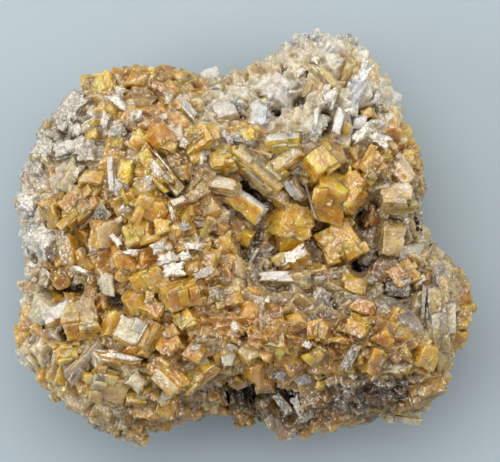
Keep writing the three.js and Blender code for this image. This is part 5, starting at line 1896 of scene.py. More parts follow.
@dataclass(frozen=True)
class WulfeniteFinish:
    """Wulfenite, a lead molybdate, as it grew: very high lustre over a scattering, honey-clear body.

    Each face is a mosaic of parallel sub-crystals. A Voronoi cell is one of them: its random colour
    turns its normal, shades it and sets its polish, and a thin even coat mirrors over them all, as a
    face that grew flat does. Ragged noise patches are painted pale, as frosty faces with painted glints
    on them, and some growth layers are milky stripes round the crystal. Slow noise lets the honey colour
    run deeper and lighter, its own zoning with a painted glow of light inside, dark seams run between
    groups of sub-crystals, and dust lies in pits.
    """

    name: str
    cell: float  # width of a sub-crystal, mm
    tilt: float  # how far its face turns
    spread: float  # how much its brightness varies
    frost_and_glint_from: float  # noise value where the frosty painted glints start; higher is less
    roughness: tuple[float, float]
    scatter: float
    transmission: float
    veins: float  # how dark the seams between sub-crystals are
    specks: float  # how dark the dust in the pits is
    stripes: float  # how pale some growth layers are
    gloss: tuple[float, float] = (0.1, 0.9)  # least and greatest specular level of a sub-crystal
    # near white of the frosty patches, a painted glint
    frost_and_glint: str = "#fdf5e6"
    frost_and_glint_grain: float = 0.8  # mm
    frost_and_glint_most: float = 0.85
    # own colour zoning, with a painted glow of light inside
    glow: float = 1.6  # mm over which the honey colour changes
    glow_hues: tuple[float, float] = (0.488, 0.506)  # 0.5 leaves the tone's hue
    glow_values: tuple[float, float] = (0.8, 1.27)
    layer_width: float = 0.28  # mm
    seam_spacing: float = 0.9  # mm
    seam_bend: float = 0.9  # mm by which noise bends the seams
    seam_width: float = 0.16  # part of the spacing
    pale_seams: float = 1.7  # how much darker seams are in pale crystals
    speck_spacing: float = 0.5  # mm
    speck_width: float = 0.2  # part of the spacing
    index: float = 2.28  # wulfenite's own
    scatter_reach: float = 2.8  # mm
    scatter_colours: tuple[float, ...] = (1.0, 0.9, 0.62)  # blue light is taken up soonest
    coat: float = 0.16  # how much of a face is one even mirror over its sub-crystals
    coat_roughness: float = 0.08
    coat_index: float = 1.7

    def body(self, tree: Tree, place: Socket, shade: Node) -> tuple[Socket, Node]:
        """Colour the body: the crystal's tone with a painted glow, frosty patches with painted glints,
        and milky layers.

        Args:
            tree: The material's node tree.
            place: Object coordinates.
            shade: Brightness of each sub-crystal.

        Returns:
            The colour, and the noise that makes the pale patches ragged.
        """
        tint = add_node(tree, "Attribute", attribute_name="tint")
        noise = {"Vector": place, "Scale": per_metre(self.glow), "Detail": 1.0}
        slow = add_node(tree, "TexNoise", noise)
        ends = {"Value": slow, "From Min": 0.3, "From Max": 0.7}
        low, high = self.glow_hues
        hue = add_node(tree, "MapRange", {**ends, "To Min": low, "To Max": high})
        low, high = self.glow_values
        glowing = add_node(tree, "MapRange", {**ends, "To Min": low, "To Max": high})
        value = add_node(tree, "Math", {0: shade, 1: glowing}, operation="MULTIPLY")
        toned = add_node(tree, "HueSaturation", {"Color": tint, "Hue": hue, "Value": value})
        noise = {"Vector": place, "Scale": per_metre(self.frost_and_glint_grain), "Detail": 3.0, "Distortion": 1.6}
        ragged = add_node(tree, "TexNoise", noise)
        start = {"Value": ragged, "From Min": self.frost_and_glint_from, "From Max": self.frost_and_glint_from + 0.07}
        # frosty patches painted near white: painted glints
        frost_and_glint_amount = add_node(tree, "MapRange", {**start, "To Max": self.frost_and_glint_most})
        layer = add_node(tree, "Attribute", attribute_name="layer").outputs["Fac"]
        noise = {"W": layer, "Scale": 1 / self.layer_width, "Detail": 1.0}
        layers = add_node(tree, "TexNoise", noise, noise_dimensions="1D")
        start = {"Value": layers, "From Min": 0.5, "From Max": 0.62}
        stripe = add_node(tree, "MapRange", {**start, "To Max": self.stripes})
        whitened = add_node(tree, "Math", {0: frost_and_glint_amount, 1: stripe}, operation="MAXIMUM")
        ends = {0: whitened, MIX_A: toned, MIX_B: rgba(self.frost_and_glint)}
        return add_node(tree, "Mix", ends, data_type="RGBA").outputs[MIX_OUT], ragged

    def marks(self, tree: Tree, place: Socket, ragged: Node) -> Node:
        """Darken the seams, which bend with the noise and are darkest in pale crystals, and the pits.

        Args:
            tree: The material's node tree.
            place: Object coordinates.
            ragged: The noise that bends the seams.

        Returns:
            What part of its brightness the colour keeps.
        """
        bend = {0: ragged.outputs["Color"], 1: (self.seam_bend * MM,) * 3, 2: place}
        bent = add_node(tree, "VectorMath", bend, operation="MULTIPLY_ADD")
        cells = {"Vector": bent, "Scale": per_metre(self.seam_spacing)}
        seam = add_node(tree, "TexVoronoi", cells, feature="DISTANCE_TO_EDGE")
        tint = add_node(tree, "Attribute", attribute_name="tint")
        parts = add_node(tree, "SeparateColor", {"Color": tint}).outputs
        paleness = add_node(tree, "Math", {0: parts["Blue"], 1: parts["Red"]}, operation="DIVIDE")
        least, most = 1 - self.pale_seams * self.veins, 1 - self.veins
        ends = {"Value": paleness, "From Min": 0.4, "From Max": 0.8, "To Min": most, "To Max": least}
        depth = add_node(tree, "MapRange", ends)
        line = add_node(tree, "MapRange", {"Value": seam, "From Max": self.seam_width, "To Min": depth})
        dust = add_node(tree, "TexVoronoi", {"Vector": place, "Scale": per_metre(self.speck_spacing)})
        ends = {"Value": dust, "From Max": self.speck_width, "To Min": 1 - self.specks, "To Max": 1.0}
        dot = add_node(tree, "MapRange", ends)
        return add_node(tree, "Math", {0: line, 1: dot}, operation="MULTIPLY")

    def material(self) -> Material:
        """Build the material.

        Returns:
            The material.
        """
        material, tree = new_material(self.name)
        place = add_node(tree, "TexCoord").outputs["Object"]
        cells = add_node(tree, "TexVoronoi", {"Vector": place, "Scale": per_metre(self.cell)})
        part = add_node(tree, "SeparateColor", {"Color": cells.outputs["Color"]}).outputs
        ends = {"Value": part["Red"], "To Min": 1 - self.spread, "To Max": 1 + self.spread}
        shade = add_node(tree, "MapRange", ends)
        with_frost_and_glint, ragged = self.body(tree, place, shade)
        marks = self.marks(tree, place, ragged)
        marked = add_node(tree, "HueSaturation", {"Color": with_frost_and_glint, "Value": marks})
        turn = {0: cells.outputs["Color"], 1: (self.tilt,) * 3, 2: (-self.tilt / 2,) * 3}
        lean = add_node(tree, "VectorMath", turn, operation="MULTIPLY_ADD")
        facing = add_node(tree, "NewGeometry").outputs["Normal"]
        turned = add_node(tree, "VectorMath", {0: facing, 1: lean}, operation="ADD")
        unit = add_node(tree, "VectorMath", {0: turned}, operation="NORMALIZE")
        low, high = self.roughness
        polish = add_node(tree, "MapRange", {"Value": part["Blue"], "To Min": low, "To Max": high})
        low, high = self.gloss
        ends = {"Value": part["Green"], "From Min": 0.5, "To Min": low, "To Max": high}
        lustre = add_node(tree, "MapRange", ends)
        dress(tree, {
            "Base Color": marked,
            "Specular IOR Level": lustre,
            "Normal": unit,
            "Roughness": polish,
            "IOR": self.index,
            "Subsurface Weight": self.scatter,
            "Subsurface Radius": self.scatter_colours,
            "Subsurface Scale": self.scatter_reach * MM,
            "Transmission Weight": self.transmission,
            "Coat Weight": self.coat,
            "Coat Roughness": self.coat_roughness,
            "Coat IOR": self.coat_index,
        })  # fmt: skip
        return material


CLEAN_FACES = WulfeniteFinish(
    "wulfenite_clean_grown_faces", cell=0.3, tilt=0.36, spread=0.14, frost_and_glint_from=0.67,
    roughness=(0.08, 0.26), scatter=0.8, transmission=0.2, veins=0.1, specks=0.0, stripes=0.13,
)  # fmt: skip
SUGARY_FACES = WulfeniteFinish(
    "wulfenite_sugary_mosaic_faces", cell=0.26, tilt=0.44, spread=0.16, frost_and_glint_from=0.6,
    roughness=(0.14, 0.36), scatter=0.8, transmission=0.1, veins=0.16, specks=0.1, stripes=0.08,
)  # fmt: skip
STRIATED_FACES = WulfeniteFinish(
    "wulfenite_striated_faces", cell=0.3, tilt=0.34, spread=0.14, frost_and_glint_from=0.64,
    roughness=(0.14, 0.34), scatter=0.7, transmission=0.1, veins=0.18, specks=0.1, stripes=0.45,
)  # fmt: skip
PEARLY_PLATES = WulfeniteFinish(
    "wulfenite_pearly_plates", cell=0.26, tilt=0.4, spread=0.12, frost_and_glint_from=0.6,
    roughness=(0.14, 0.34), scatter=0.2, transmission=0.0, veins=0.36, specks=0.7, stripes=0.2,
    gloss=(0.3, 1.0),
)  # fmt: skip
CRYSTAL_FINISHES = (CLEAN_FACES, SUGARY_FACES, STRIATED_FACES, PEARLY_PLATES)


@dataclass(frozen=True)
class BrokenRock:
    """Fine-grained dolomite, broken by hammer: matt grey, with ochre iron stain and dark specks.

    Light and dark grains mingle, and small hackly faces, each a crystal broken through, catch the
    light here and there.
    """

    name: str = "dolomite_broken_faces"
    grain: float = 0.7  # mm
    stain: float = 7.0  # mm
    fresh: str = "#8b867b"
    dark: str = "#57534b"
    ochre: str = "#a07c4c"
    stain_most: float = 0.75
    speck: str = "#423d35"
    speck_width: float = 0.3  # mm
    unspecked: float = 0.92  # share of the cells without a speck
    hackle: float = 1.8  # mm across the broken faces of its crystals
    hackle_depth: float = 0.5  # mm
    grain_depth: float = 0.4  # mm
    bump: float = 0.8
    roughness: float = 0.85

    def material(self) -> Material:
        """Build the material: grain and stain from noise, specks and hackly faces from Voronoi cells.

        Returns:
            The material.
        """
        material, tree = new_material(self.name)
        place = add_node(tree, "TexCoord").outputs["Object"]
        noise = {"Vector": place, "Scale": per_metre(self.grain), "Detail": 4.0}
        grain = add_node(tree, "TexNoise", noise)
        noise = {"Vector": place, "Scale": per_metre(self.stain), "Detail": 3.0}
        stain = add_node(tree, "TexNoise", noise)
        freshness = add_node(tree, "MapRange", {"Value": grain, "From Min": 0.36, "From Max": 0.64})
        ends = {0: freshness, MIX_A: rgba(self.dark), MIX_B: rgba(self.fresh)}
        tone = add_node(tree, "Mix", ends, data_type="RGBA").outputs[MIX_OUT]
        ends = {"Value": stain, "From Min": 0.5, "From Max": 0.7, "To Max": self.stain_most}
        ends = {0: add_node(tree, "MapRange", ends), MIX_A: tone, MIX_B: rgba(self.ochre)}
        stained = add_node(tree, "Mix", ends, data_type="RGBA").outputs[MIX_OUT]
        cells = add_node(tree, "TexVoronoi", {"Vector": place, "Scale": per_metre(self.speck_width)})
        part = add_node(tree, "SeparateColor", {"Color": cells.outputs["Color"]}).outputs["Green"]
        picked = add_node(tree, "Math", {0: part, 1: self.unspecked}, operation="GREATER_THAN")
        ends = {0: picked, MIX_A: stained, MIX_B: rgba(self.speck)}
        specked = add_node(tree, "Mix", ends, data_type="RGBA").outputs[MIX_OUT]
        broken = add_node(tree, "TexVoronoi", {"Vector": place, "Scale": per_metre(self.hackle)})
        rise = {"Height": broken, "Strength": self.bump, "Distance": self.hackle_depth * MM}
        facets = add_node(tree, "Bump", rise)
        rise = {"Height": grain, "Strength": self.bump, "Distance": self.grain_depth * MM}
        bump = add_node(tree, "Bump", {**rise, "Normal": facets})
        dress(tree, {"Base Color": specked, "Normal": bump, "Roughness": self.roughness})
        return material


@dataclass(frozen=True)
class MetallicGrain:
    """Galena, left in grains between the crystals: lead grey, near black, with a broken glint."""

    name: str = "galena_broken_grains"
    colour: str = "#3c3b3d"
    cleavage: float = 0.4  # mm across the faces that differ in brightness
    # painted glint: brightness of each broken face, from dull to bright
    values: tuple[float, float] = (0.5, 1.8)
    roughness: float = 0.32

    def material(self) -> Material:
        """Build the material: a metal painted brighter on some faces than others by Voronoi cells, as
        glints.

        Returns:
            The material.
        """
        material, tree = new_material(self.name)
        place = add_node(tree, "TexCoord").outputs["Object"]
        cells = add_node(tree, "TexVoronoi", {"Vector": place, "Scale": per_metre(self.cleavage)})
        part = add_node(tree, "SeparateColor", {"Color": cells.outputs["Color"]}).outputs["Red"]
        low, high = self.values
        shade = add_node(tree, "MapRange", {"Value": part, "To Min": low, "To Max": high})
        tone = add_node(tree, "HueSaturation", {"Color": rgba(self.colour), "Value": shade})
        dress(tree, {"Base Color": tone, "Metallic": 1.0, "Roughness": self.roughness})
        return material




# ---------------------------------------------------------------- sub-assemblies


@dataclass(frozen=True)
class HostRock:
    """The broken piece of rock under the crust. Sizes in mm."""

    columns: int = 290
    rows: int = 104
    facet: float = 4.2
    facet_depth: float = 0.9
    chip: float = 1.6
    chip_depth: float = 0.35
    covered_gap: float = 0.1  # more room under the crust

    def build(self) -> bpy.types.Object:
        """Break the rock's form into hackly facets, none of them below the resting face.

        Returns:
            The piece.
        """
        ways = np.arange(1, self.rows) / self.rows
        angle, way, triangles = polar_grid(self.columns, ways)
        points = FORM.rock(angle, way)
        last = np.arange(len(points) - self.columns, len(points))
        pole = len(points)
        points = np.concatenate([points, [[0.0, 0.0, 0.0]]])
        cap = np.column_stack([last, np.full(self.columns, pole), np.roll(last, -1)])
        triangles = np.concatenate([triangles, cap])
        step = self.facet_depth * facet_noise(points, self.facet, 61)
        step += self.chip_depth * facet_noise(points, self.chip, 67)
        covered = np.concatenate([way < FORM.covered_way, [False]])
        step = np.where(covered, np.minimum(step, 0) - self.covered_gap, step)
        points = points + step[:, None] * point_normals(points, triangles)
        points[:, 2] = np.maximum(points[:, 2], 0)
        grey = np.full_like(points, 0.5)
        shell = Shell(points, triangles, grey, np.zeros(len(triangles), int))
        return shell.piece("rock_broken_faces", "host_rock", "matrix_rock", [BrokenRock().material()])


@dataclass(frozen=True)
class CubeCorners:
    """Cubes grown together into one mass, of which only corners and faces show. Sizes in mm."""

    cell: float = 2.3
    least: float = 0.42  # half size, as a part of the cell
    most: float = 0.8
    flatness: float = 0.7
    flattening: float = 0.55  # how far the seeds are drawn to the skin
    steepest: float = 0.2  # least slope of a face to the skin's normal
    swirl: float = 110.0  # degrees over which neighbours turn together
    swirl_cell: float = 5.5
    wander: float = 30.0  # degrees of each one's own
    salt: int = 301

    def seeds(self, cells: Array) -> tuple[Array, Array, Array]:
        """Place one cube in each cell: its middle, attitude and half sizes.

        Args:
            cells: Cell indices, one to a row.

        Returns:
            Middles, rotation matrices and half sizes.
        """
        chance = np.stack([lattice(cells, self.salt + k) for k in range(9)], axis=1)
        middle = (cells + chance[:, :3]) * self.cell
        shared = [smooth_noise(middle, self.swirl_cell, self.salt + 20 + k) for k in range(3)]
        shared = self.swirl * (np.stack(shared, axis=1) - 0.5) * (4, 1, 1)
        turns = shared + self.wander * (chance[:, 3:6] - 0.5)
        half = self.cell * (self.least + (self.most - self.least) * chance[:, 6:9] ** 1.5)
        return middle, attitude(*turns.T), half * (1, 1, self.flatness)

    def over(self, points: Array, normal: Array) -> tuple[Array, Array, Array]:
        """Find how far the mass stands out of a skin, and which cube shows at each point.

        A line from the point along the normal leaves a cube by the nearest of the three faces that
        it can leave by: t = min((sign(n) * half - p) / n), with the point p and the normal n in the
        cube's own frame. The mass reaches the furthest of all cubes about the point.

        Args:
            points: Points of the skin.
            normal: Unit normals of the skin.

        Returns:
            The reach at each point, the index of its cube, and the cubes' middles.
        """
        whole = np.floor(points / self.cell)
        steps = np.array(list(product((-1, 0, 1), repeat=3)))
        cells = (whole[:, None, :] + steps).reshape(-1, 3)
        key = (cells + 500) @ (1e6, 1e3, 1.0)
        _, first, index = np.unique(key, return_index=True, return_inverse=True)
        index = index.reshape(len(points), len(steps))
        middle, turned, half = self.seeds(cells[first])
        furthest = np.full(len(points), -np.inf)
        shown = np.zeros(len(points), int)
        for here in index.T:
            away = points - middle[here]
            away -= self.flattening * (away * normal).sum(axis=1)[:, None] * normal
            place = np.einsum("nj,njk->nk", away, turned[here])
            facing = np.einsum("nj,njk->nk", normal, turned[here])
            facing = np.where(np.abs(facing) < self.steepest, np.copysign(self.steepest, facing), facing)
            reach = ((np.sign(facing) * half[here] - place) / facing).min(axis=1)
            shown = np.where(reach > furthest, here, shown)
            furthest = np.maximum(furthest, reach)
        return furthest, shown, middle

@dataclass(frozen=True)
class DrusyGround:
    """The crust between its crystals: a sheet of cubes grown together, dug out in the holes."""

    columns: int = 620
    crown_rows: int = 158
    side_rows: int = 28
    thickness: float = 2.7
    level: float = 0.4  # mean height over the skin
    lowest: float = -0.8
    highest: float = 2.1
    side_from: float = 0.93  # part of the way over the crown where the side's relief starts
    side_relief: float = 0.55  # of the relief on the rim's side
    cubes: CubeCorners = CubeCorners()
    lesser_cubes: CubeCorners = CubeCorners(cell=1.15, wander=60.0, salt=351)
    lesser: float = 0.45  # share of the lesser cubes' relief
    grain: float = 0.7
    grain_depth: float = 0.1
    # painted shade: brightness of the lowest relief, rising to full at the highest
    low_shade: float = 0.76
    # painted shade in the holes, deepening with their depth
    hole_shade: float = 1.1  # how fast the holes darken with their depth, to a mm
    lip_shade: float = 0.8
    own_tone: float = 0.55  # how much of its colour is a cube's own, the rest being its region's
    # brightness of the crust, the vug and the notch: the notch's is painted shade
    region_shade: tuple[float, ...] = (1.0, 1.02, 0.56)
    seed: int = 75

    def grid(self) -> tuple[Array, Array, Array]:
        """Lay the sheet's grid, evenly in the way over the crown and down the side.

        Returns:
            Angles, ways and triangles.
        """
        crown = FORM.crown_way * np.arange(1, self.crown_rows + 1) / self.crown_rows
        side = 1 - (1 - FORM.crown_way) * np.arange(self.side_rows)[::-1] / self.side_rows
        return polar_grid(self.columns, np.concatenate([crown, side]))

    def skin(self) -> tuple[Array, Array]:
        """Points and triangles of the even skin."""
        angle, way, triangles = self.grid()
        return FORM.skin(angle, way), triangles

    def shells(self) -> list[Shell]:
        """Work out the sheet's share of each region.

        The relief is that of the cubes, with that of the lesser ones added about its mean. It is
        lower on the rim's side and even on the smooth lip, and holes are dug out of it.

        Returns:
            Closed shells of the vug, the notch, and the upper and lower halves of the crust, which
            part along the creases between cubes.
        """
        angle, way, triangles = self.grid()
        even = FORM.skin(angle, way)
        normal = point_normals(even, triangles)
        hole = hole_depth(even[:, 0], even[:, 1]) * (way < FORM.crown_way)
        reach, shown, middle = self.cubes.over(even, normal)
        lesser, _, _ = self.lesser_cubes.over(even, normal)
        reach += self.lesser * (lesser - lesser.mean())
        height = np.clip(reach - reach.mean() + self.level, self.lowest, self.highest)
        height *= np.where(way > self.side_from * FORM.crown_way, self.side_relief, 1)
        lip = lip_share(even[:, 0], even[:, 1])
        height += lip * (LIP.rise - height)
        step = height + self.grain_depth * facet_noise(even, self.grain, 73) - hole
        outer = even + step[:, None] * normal
        inner = FORM.skin(angle, way, self.thickness)
        finish, colours = self.looks(even, middle, shown, height, hole, lip)
        centre = even[triangles].mean(axis=1)
        share = region_of(centre[:, 0], centre[:, 1])
        lower = middle[shown[triangles[:, 0]], 1] < 0
        share = np.where(share == 0, 3 + lower, share)
        shells = []
        for index in (1, 2, 3, 4):
            points, faces, source = thickened(outer, inner, triangles[share == index])
            shells.append(Shell(points, faces, colours[source], finish[source[faces[:, 0]]]))
        return shells

    def looks(
        self, even: Array, middle: Array, shown: Array, height: Array, hole: Array, lip: Array
    ) -> tuple[Array, Array]:
        """Draw a tone and a finish for each cube, and paint shade on its points by their height, holes
        and place.

        Args:
            even: Points of the even skin.
            middle: The cubes' middles.
            shown: The cube that shows at each point.
            height: Height of the relief.
            hole: Depth of the holes.
            lip: How far each point lies on the smooth grey lip.

        Returns:
            Finishes and linear colours of the points.
        """
        draw = np.random.default_rng(self.seed)
        tone = drawn_tones(middle[:, 0], middle[:, 1], draw)
        bright = draw.uniform(0.9, 1.08, len(tone))
        finish = draw.choice(STREWN_FINISHES, len(tone))
        rise = ramp(height, self.lowest, self.highest - self.lowest)
        shade = bright[shown] * (self.low_shade + (1 - self.low_shade) * rise)
        shade *= np.exp(-self.hole_shade * hole)
        shade *= np.array(self.region_shade)[region_of(even[:, 0], even[:, 1])]
        # painted patches, those along the lower edge and in the notch painted shade
        shade *= patch_shade(even[:, 0], even[:, 1])
        mixed = (1 - self.own_tone) * tone_chances(middle[:, 0], middle[:, 1]) @ PALETTE
        own = (self.own_tone * PALETTE[tone] + mixed)[shown]
        own = own + lip[:, None] * (self.lip_shade * colour_of(GREY) - own)
        return finish[shown], own * shade[:, None] ** SHADE_BROWNING


BOX_MARGIN = 0.3  # how far small crystals may stand out of the solid model's box, mm
REGION_SEEDS = 10  # from one region's first seed to the next one's


@dataclass
class Druse:
    """All crystals of one region: placed ones, small ones, their overgrowth and sugar over them.

    Each kind draws from its own seeds, which a region's first seed is added to.
    """

    region: Region
    rows: tuple
    plates: tuple
    masses: tuple
    sugar: Sugar
    small_sugar: Sugar
    overgrowth: Overgrowth
    materials: list[Material]
    coarse_steps: int = 8
    fine_steps: int = 13
    fine_from: float = 2.0  # half length of the crystals that are cut finer
    worn: float = 0.09  # how much of a small crystal's edge is cut off, as a part of half an edge
    small_seed: int = 211
    small_sugar_seed: int = 251
    tablet_seed: int = 311
    overgrowth_seed: int = 331
    sugar_seed: int = 351
    lesser_seed: int = 391

    def __post_init__(self) -> None:
        """Set the listed crystals into the crust, in the order tablets, plates and masses."""
        self.placed = placed_crystals(self.rows + self.plates + self.masses)
        counts = [len(rows) for rows in (self.rows, self.plates, self.masses)]
        self.sort = np.repeat(np.arange(3), counts)

    def halves(self, crystals: Crystals) -> list[tuple[str, Array]]:
        """Part the crust in an upper and a lower half, which keeps its pieces light.

        Args:
            crystals: Crystals of the region.

        Returns:
            The start of each half's names and the mask of its crystals; other regions stay whole.
        """
        upper = crystals.middle[:, 1] >= 0
        if self.region is Region.CRUST:
            return [("upper_", upper), ("lower_", ~upper)]
        return [("", np.ones(len(upper), bool))]

    def steps(self, count: int) -> Array:
        """Cuts along an edge, closer together near its ends: an even run mixed with its sine."""
        run = np.linspace(-1, 1, count + 1)
        return 0.55 * run + 0.45 * np.sin(run * np.pi / 2)

    def piece(self, shell: Shell, part: str) -> None:
        """Make a shell a piece of this region."""
        node, slot = self.region.value
        shell.piece(f"{self.region.name.lower()}_{part}", node, slot, self.materials)

    def tablets(self, keep: Array, part: str, seed: int) -> None:
        """Build some of the placed crystals, the large ones from a finer template.

        Args:
            keep: Mask of the crystals.
            part: The piece's name after the region's.
            seed: Seed of their skews.
        """
        large = self.placed.half.max(axis=1) >= self.fine_from
        shells = []
        for sort, working in enumerate((Working(), PLATE_WORK, MASS_WORK)):
            own = keep & (self.sort == sort)
            for size, steps in ((large, self.fine_steps), (~large, self.coarse_steps)):
                chosen = self.placed.only(own & size)
                if len(chosen):
                    shells.append(worked(chosen, block(self.steps(steps)), seed + len(shells), working))
        self.piece(Shell.joined(shells), part)

    def small(self, crystals: Crystals, part: str, seed: int) -> None:
        """Build small crystals from a cube with cut edges."""
        self.piece(worked(crystals, chamfered_block(self.worn), seed, SMALL_WORK), part)

    def grains(self, sugar: Sugar, crystals: Crystals, part: str, seed: int) -> None:
        """Build sugar grains over some crystals, if they carry any.

        Args:
            sugar: How the grains grow.
            crystals: The crystals.
            part: The piece's name after the region's.
            seed: Seed of the grains' skews.
        """
        grains = sugar.over(crystals)
        if len(grains):
            self.piece(worked(grains, block(np.array([-1.0, 1.0])), seed, SUGAR_WORK), part)

    def cover(self, small: Crystals, first: int) -> None:
        """Build the small crystals of the region, and the sugar over them.

        Args:
            small: The small crystals.
            first: The region's first seed.
        """
        for seed, (half, keep) in enumerate(self.halves(small), first):
            own = small.only(keep)
            self.small(own, f"{half}small_crystals", self.small_seed + seed)
            self.grains(self.small_sugar, own, f"{half}small_sugar", self.small_sugar_seed + seed)

    def grow(self, first: int) -> None:
        """Build the placed crystals, and the overgrowth and sugar over them.

        Args:
            first: The region's first seed.
        """
        for number, (half, keep) in enumerate(self.halves(self.placed)):
            seed = first + 2 * number
            self.tablets(keep, f"{half}tablets", self.tablet_seed + seed)
            tablets = self.placed.only(keep & (self.sort == 0))
            lesser = self.overgrowth.on(tablets, self.overgrowth_seed + seed).within_box(BOX_MARGIN)
            self.small(lesser, f"{half}overgrowth", self.lesser_seed + first + number)
            grown = self.placed.only(keep)
            self.grains(self.sugar, grown, f"{half}sugar", self.sugar_seed + first + number)


# ---------------------------------------------------------------- stage


@dataclass(frozen=True)
class Softbox:
    """A square area light that faces the specimen. Lengths in metres."""

    name: str
    place: tuple[float, float, float]
    side: float
    power: float  # watts
    colour: str
    aim: tuple[float, float, float] = (0.0, 0.0, 0.012)

    def hang(self) -> bpy.types.Object:
        """Hang the light.

        Returns:
            The lamp.
        """
        data = bpy.data.lights.new(self.name, "AREA")
        data.size = self.side
        data.energy = self.power
        data.color = linear(self.colour)
        lamp = bpy.data.objects.new(self.name, data)
        lamp.location = self.place
        way = Vector(self.aim) - Vector(self.place)
        lamp.rotation_euler = way.to_track_quat("-Z", "Y").to_euler()
        bpy.context.scene.collection.objects.link(lamp)
        return lamp


@dataclass(frozen=True)
class Stage:
    """Pale floor, soft studio lights and the camera that looks straight down."""

    picture_width: float = 76.9  # mm across the picture at the height of the rim
    picture_middle: tuple[float, float] = (1.0, 1.05)  # mm
    camera_height: float = 420.0  # mm over the rim
    sensor: float = 36.0
    floor_reach: float = 1.5  # metres
    floor_colour: str = "#b4c4cf"
    air_colour: str = "#f4f3f2"
    air_strength: float = 0.44
    softboxes: tuple[Softbox, ...] = (
        Softbox("key_softbox", (-0.10, 0.34, 0.46), 0.7, 2.78, "#fffaf2"),
        Softbox("left_fill", (-0.5, -0.08, 0.34), 0.4, 1.3, "#fbf8f4"),
        Softbox("right_fill", (0.5, 0.1, 0.3), 0.4, 0.9, "#fff6ea"),
    )

    def floor(self) -> bpy.types.Object:
        """Lay the floor: one large square of matt painted board.

        Returns:
            The floor.
        """
        mesh = bpy.data.meshes.new("studio_floor")
        reach = self.floor_reach
        corners = [(-reach, -reach, 0), (reach, -reach, 0), (reach, reach, 0), (-reach, reach, 0)]
        mesh.from_pydata(corners, [], [(0, 1, 2, 3)])
        material, tree = new_material("matt_painted_board")
        dress(tree, {"Base Color": rgba(self.floor_colour), "Roughness": 0.9, "Specular IOR Level": 0.2})
        mesh.materials.append(material)
        floor = bpy.data.objects.new("studio_floor", mesh)
        bpy.context.scene.collection.objects.link(floor)
        return floor

    def lights(self) -> None:
        """Hang the key over the top edge, a fill on each side, and a pale world round them."""
        for softbox in self.softboxes:
            softbox.hang()
        world = bpy.data.worlds.new("studio_air")
        world.use_nodes = True
        background = world.node_tree.nodes["Background"]
        background.inputs["Color"].default_value = rgba(self.air_colour)
        background.inputs["Strength"].default_value = self.air_strength
        bpy.context.scene.world = world

    def camera(self) -> bpy.types.Object:
        """Set the camera: lens = sensor * height / width of the picture.

        Returns:
            The camera.
        """
        data = bpy.data.cameras.new("camera")
        data.sensor_width = self.sensor
        data.lens = self.sensor * self.camera_height / self.picture_width
        camera = bpy.data.objects.new("camera", data)
        x, y = self.picture_middle
        camera.location = Vector((x, y, FORM.rim_height + self.camera_height)) * MM
        bpy.context.scene.collection.objects.link(camera)
        bpy.context.scene.camera = camera
        return camera


# ---------------------------------------------------------------- the specimen


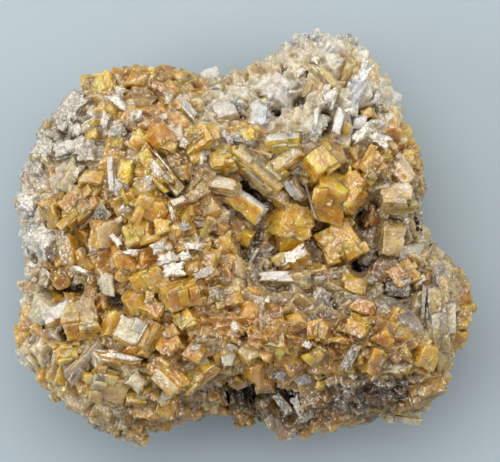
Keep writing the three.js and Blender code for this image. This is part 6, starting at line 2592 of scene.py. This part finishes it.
@dataclass(frozen=True)
class DarkGrains:
    """Broken grains of dark metal, a few together in each place on the crust. Sizes in mm."""

    places: tuple[tuple[float, float], ...] = (
        (-6.9, 24.8), (-4.3, 23.4), (-3.9, 21.6), (-0.6, 18.2), (4.7, 18.9), (19.4, 20.6),
        (18.6, 17.6), (-26.4, -7.2), (-27.6, -7.8), (-25.6, -7.9), (-28.3, -7.2), (26.3, 3.0),
        (26.5, 2.0), (26.1, 1.2), (-21.6, -7.4), (9.6, 24.6), (15.6, 26.2), (-13.3, 20.1),
        (-8.6, 8.2), (-1.0, -14.4), (12.0, -20.6), (17.0, -22.0), (22.6, -22.4), (-15.0, 12.0),
        (-25.0, 10.8), (3.6, -17.8), (6.4, -9.2), (-30.4, -13.6),
    )  # fmt: skip
    each: int = 3
    scatter: float = 0.35
    smallest: float = 0.1  # half size
    largest: float = 0.32
    lowest: float = 0.2  # over the crust
    highest: float = 1.2
    chamfer: float = 0.3
    draw_seed: int = 97
    work_seed: int = 401

    def build(self) -> bpy.types.Object:
        """Strew the grains every way round and make them one piece.

        Returns:
            The piece.
        """
        draw = np.random.default_rng(self.draw_seed)
        count = self.each * len(self.places)
        spots = np.repeat(np.array(self.places), self.each, axis=0)
        x, y = spots.T + draw.normal(0, self.scatter, (2, count))
        half = draw.uniform(self.smallest, self.largest, (count, 3))
        turn, tip, roll = draw.uniform(-180, 180, (3, count))
        height = FORM.crown(x, y) + draw.uniform(self.lowest, self.highest, count)
        middle = np.column_stack([x, y, height])
        white = np.ones((count, 3))
        grains = Crystals(middle, half, attitude(turn, tip, roll), white, white, np.zeros(count, int))
        shell = worked(grains, chamfered_block(self.chamfer), self.work_seed, METAL_WORK)
        node, slot = Region.CRUST.value
        return shell.piece("dark_metal_grains", node, slot, [MetallicGrain().material()])


def druses() -> list[Druse]:
    """Plan the crystals of the crust, the vug and the notch.

    Returns:
        One druse to a region, in the order of Region.
    """
    materials = [finish.material() for finish in CRYSTAL_FINISHES]
    middling = MiddlingCrystals()
    crust = middling.strewn(52, 11, 4.6, (3.6, 5.6), CRUST_TABLETS, Region.CRUST)
    crust = middling.toned(crust + middling.on_rim(26, 5, 3.8, 5.6), 31)
    vug = middling.toned(middling.strewn(10, 23, 3.6, (2.2, 3.6), VUG_TABLETS, Region.VUG), 33)
    sparse = Overgrowth(each=3.5, greatest_share=0.5, glint_share=0.0)
    plans = (
        (CRUST_TABLETS, CRUST_PLATES, crust, Sugar(9600, 101), Sugar(3600, 103), Overgrowth()),
        (VUG_TABLETS, VUG_PLATES, vug, Sugar(3000, 105), Sugar(900, 107), sparse),
        (NOTCH_TABLETS, (), (), Sugar(700, 109), Sugar(500, 111), sparse),
    )
    return [Druse(region, *plan, materials) for region, plan in zip(Region, plans)]


def main() -> None:
    """Build the stage, the rock, the ground, the crystals of each region and the dark grains."""
    logging.basicConfig(level=logging.INFO, format="%(message)s")
    bpy.context.scene.view_settings.view_transform = "Standard"
    stage = Stage()
    stage.camera()
    stage.floor()
    stage.lights()
    HostRock().build()
    crust, vug, notch = regions = druses()
    ground = DrusyGround()
    vug_ground, notch_ground, upper_ground, lower_ground = ground.shells()
    vug.piece(vug_ground, "ground")
    notch.piece(notch_ground, "ground")
    crust.piece(upper_ground, "upper_ground")
    crust.piece(lower_ground, "lower_ground")
    placed = Crystals.joined([druse.placed for druse in regions])
    small = SmallCrystals().grow(*ground.skin(), placed).within_box(BOX_MARGIN)
    region = region_of(small.middle[:, 0], small.middle[:, 1])
    for index, druse in enumerate(regions):
        druse.cover(small.only(region == index), REGION_SEEDS * index)
        druse.grow(REGION_SEEDS * index)
    DarkGrains().build()


if __name__ == "__main__":
    main()
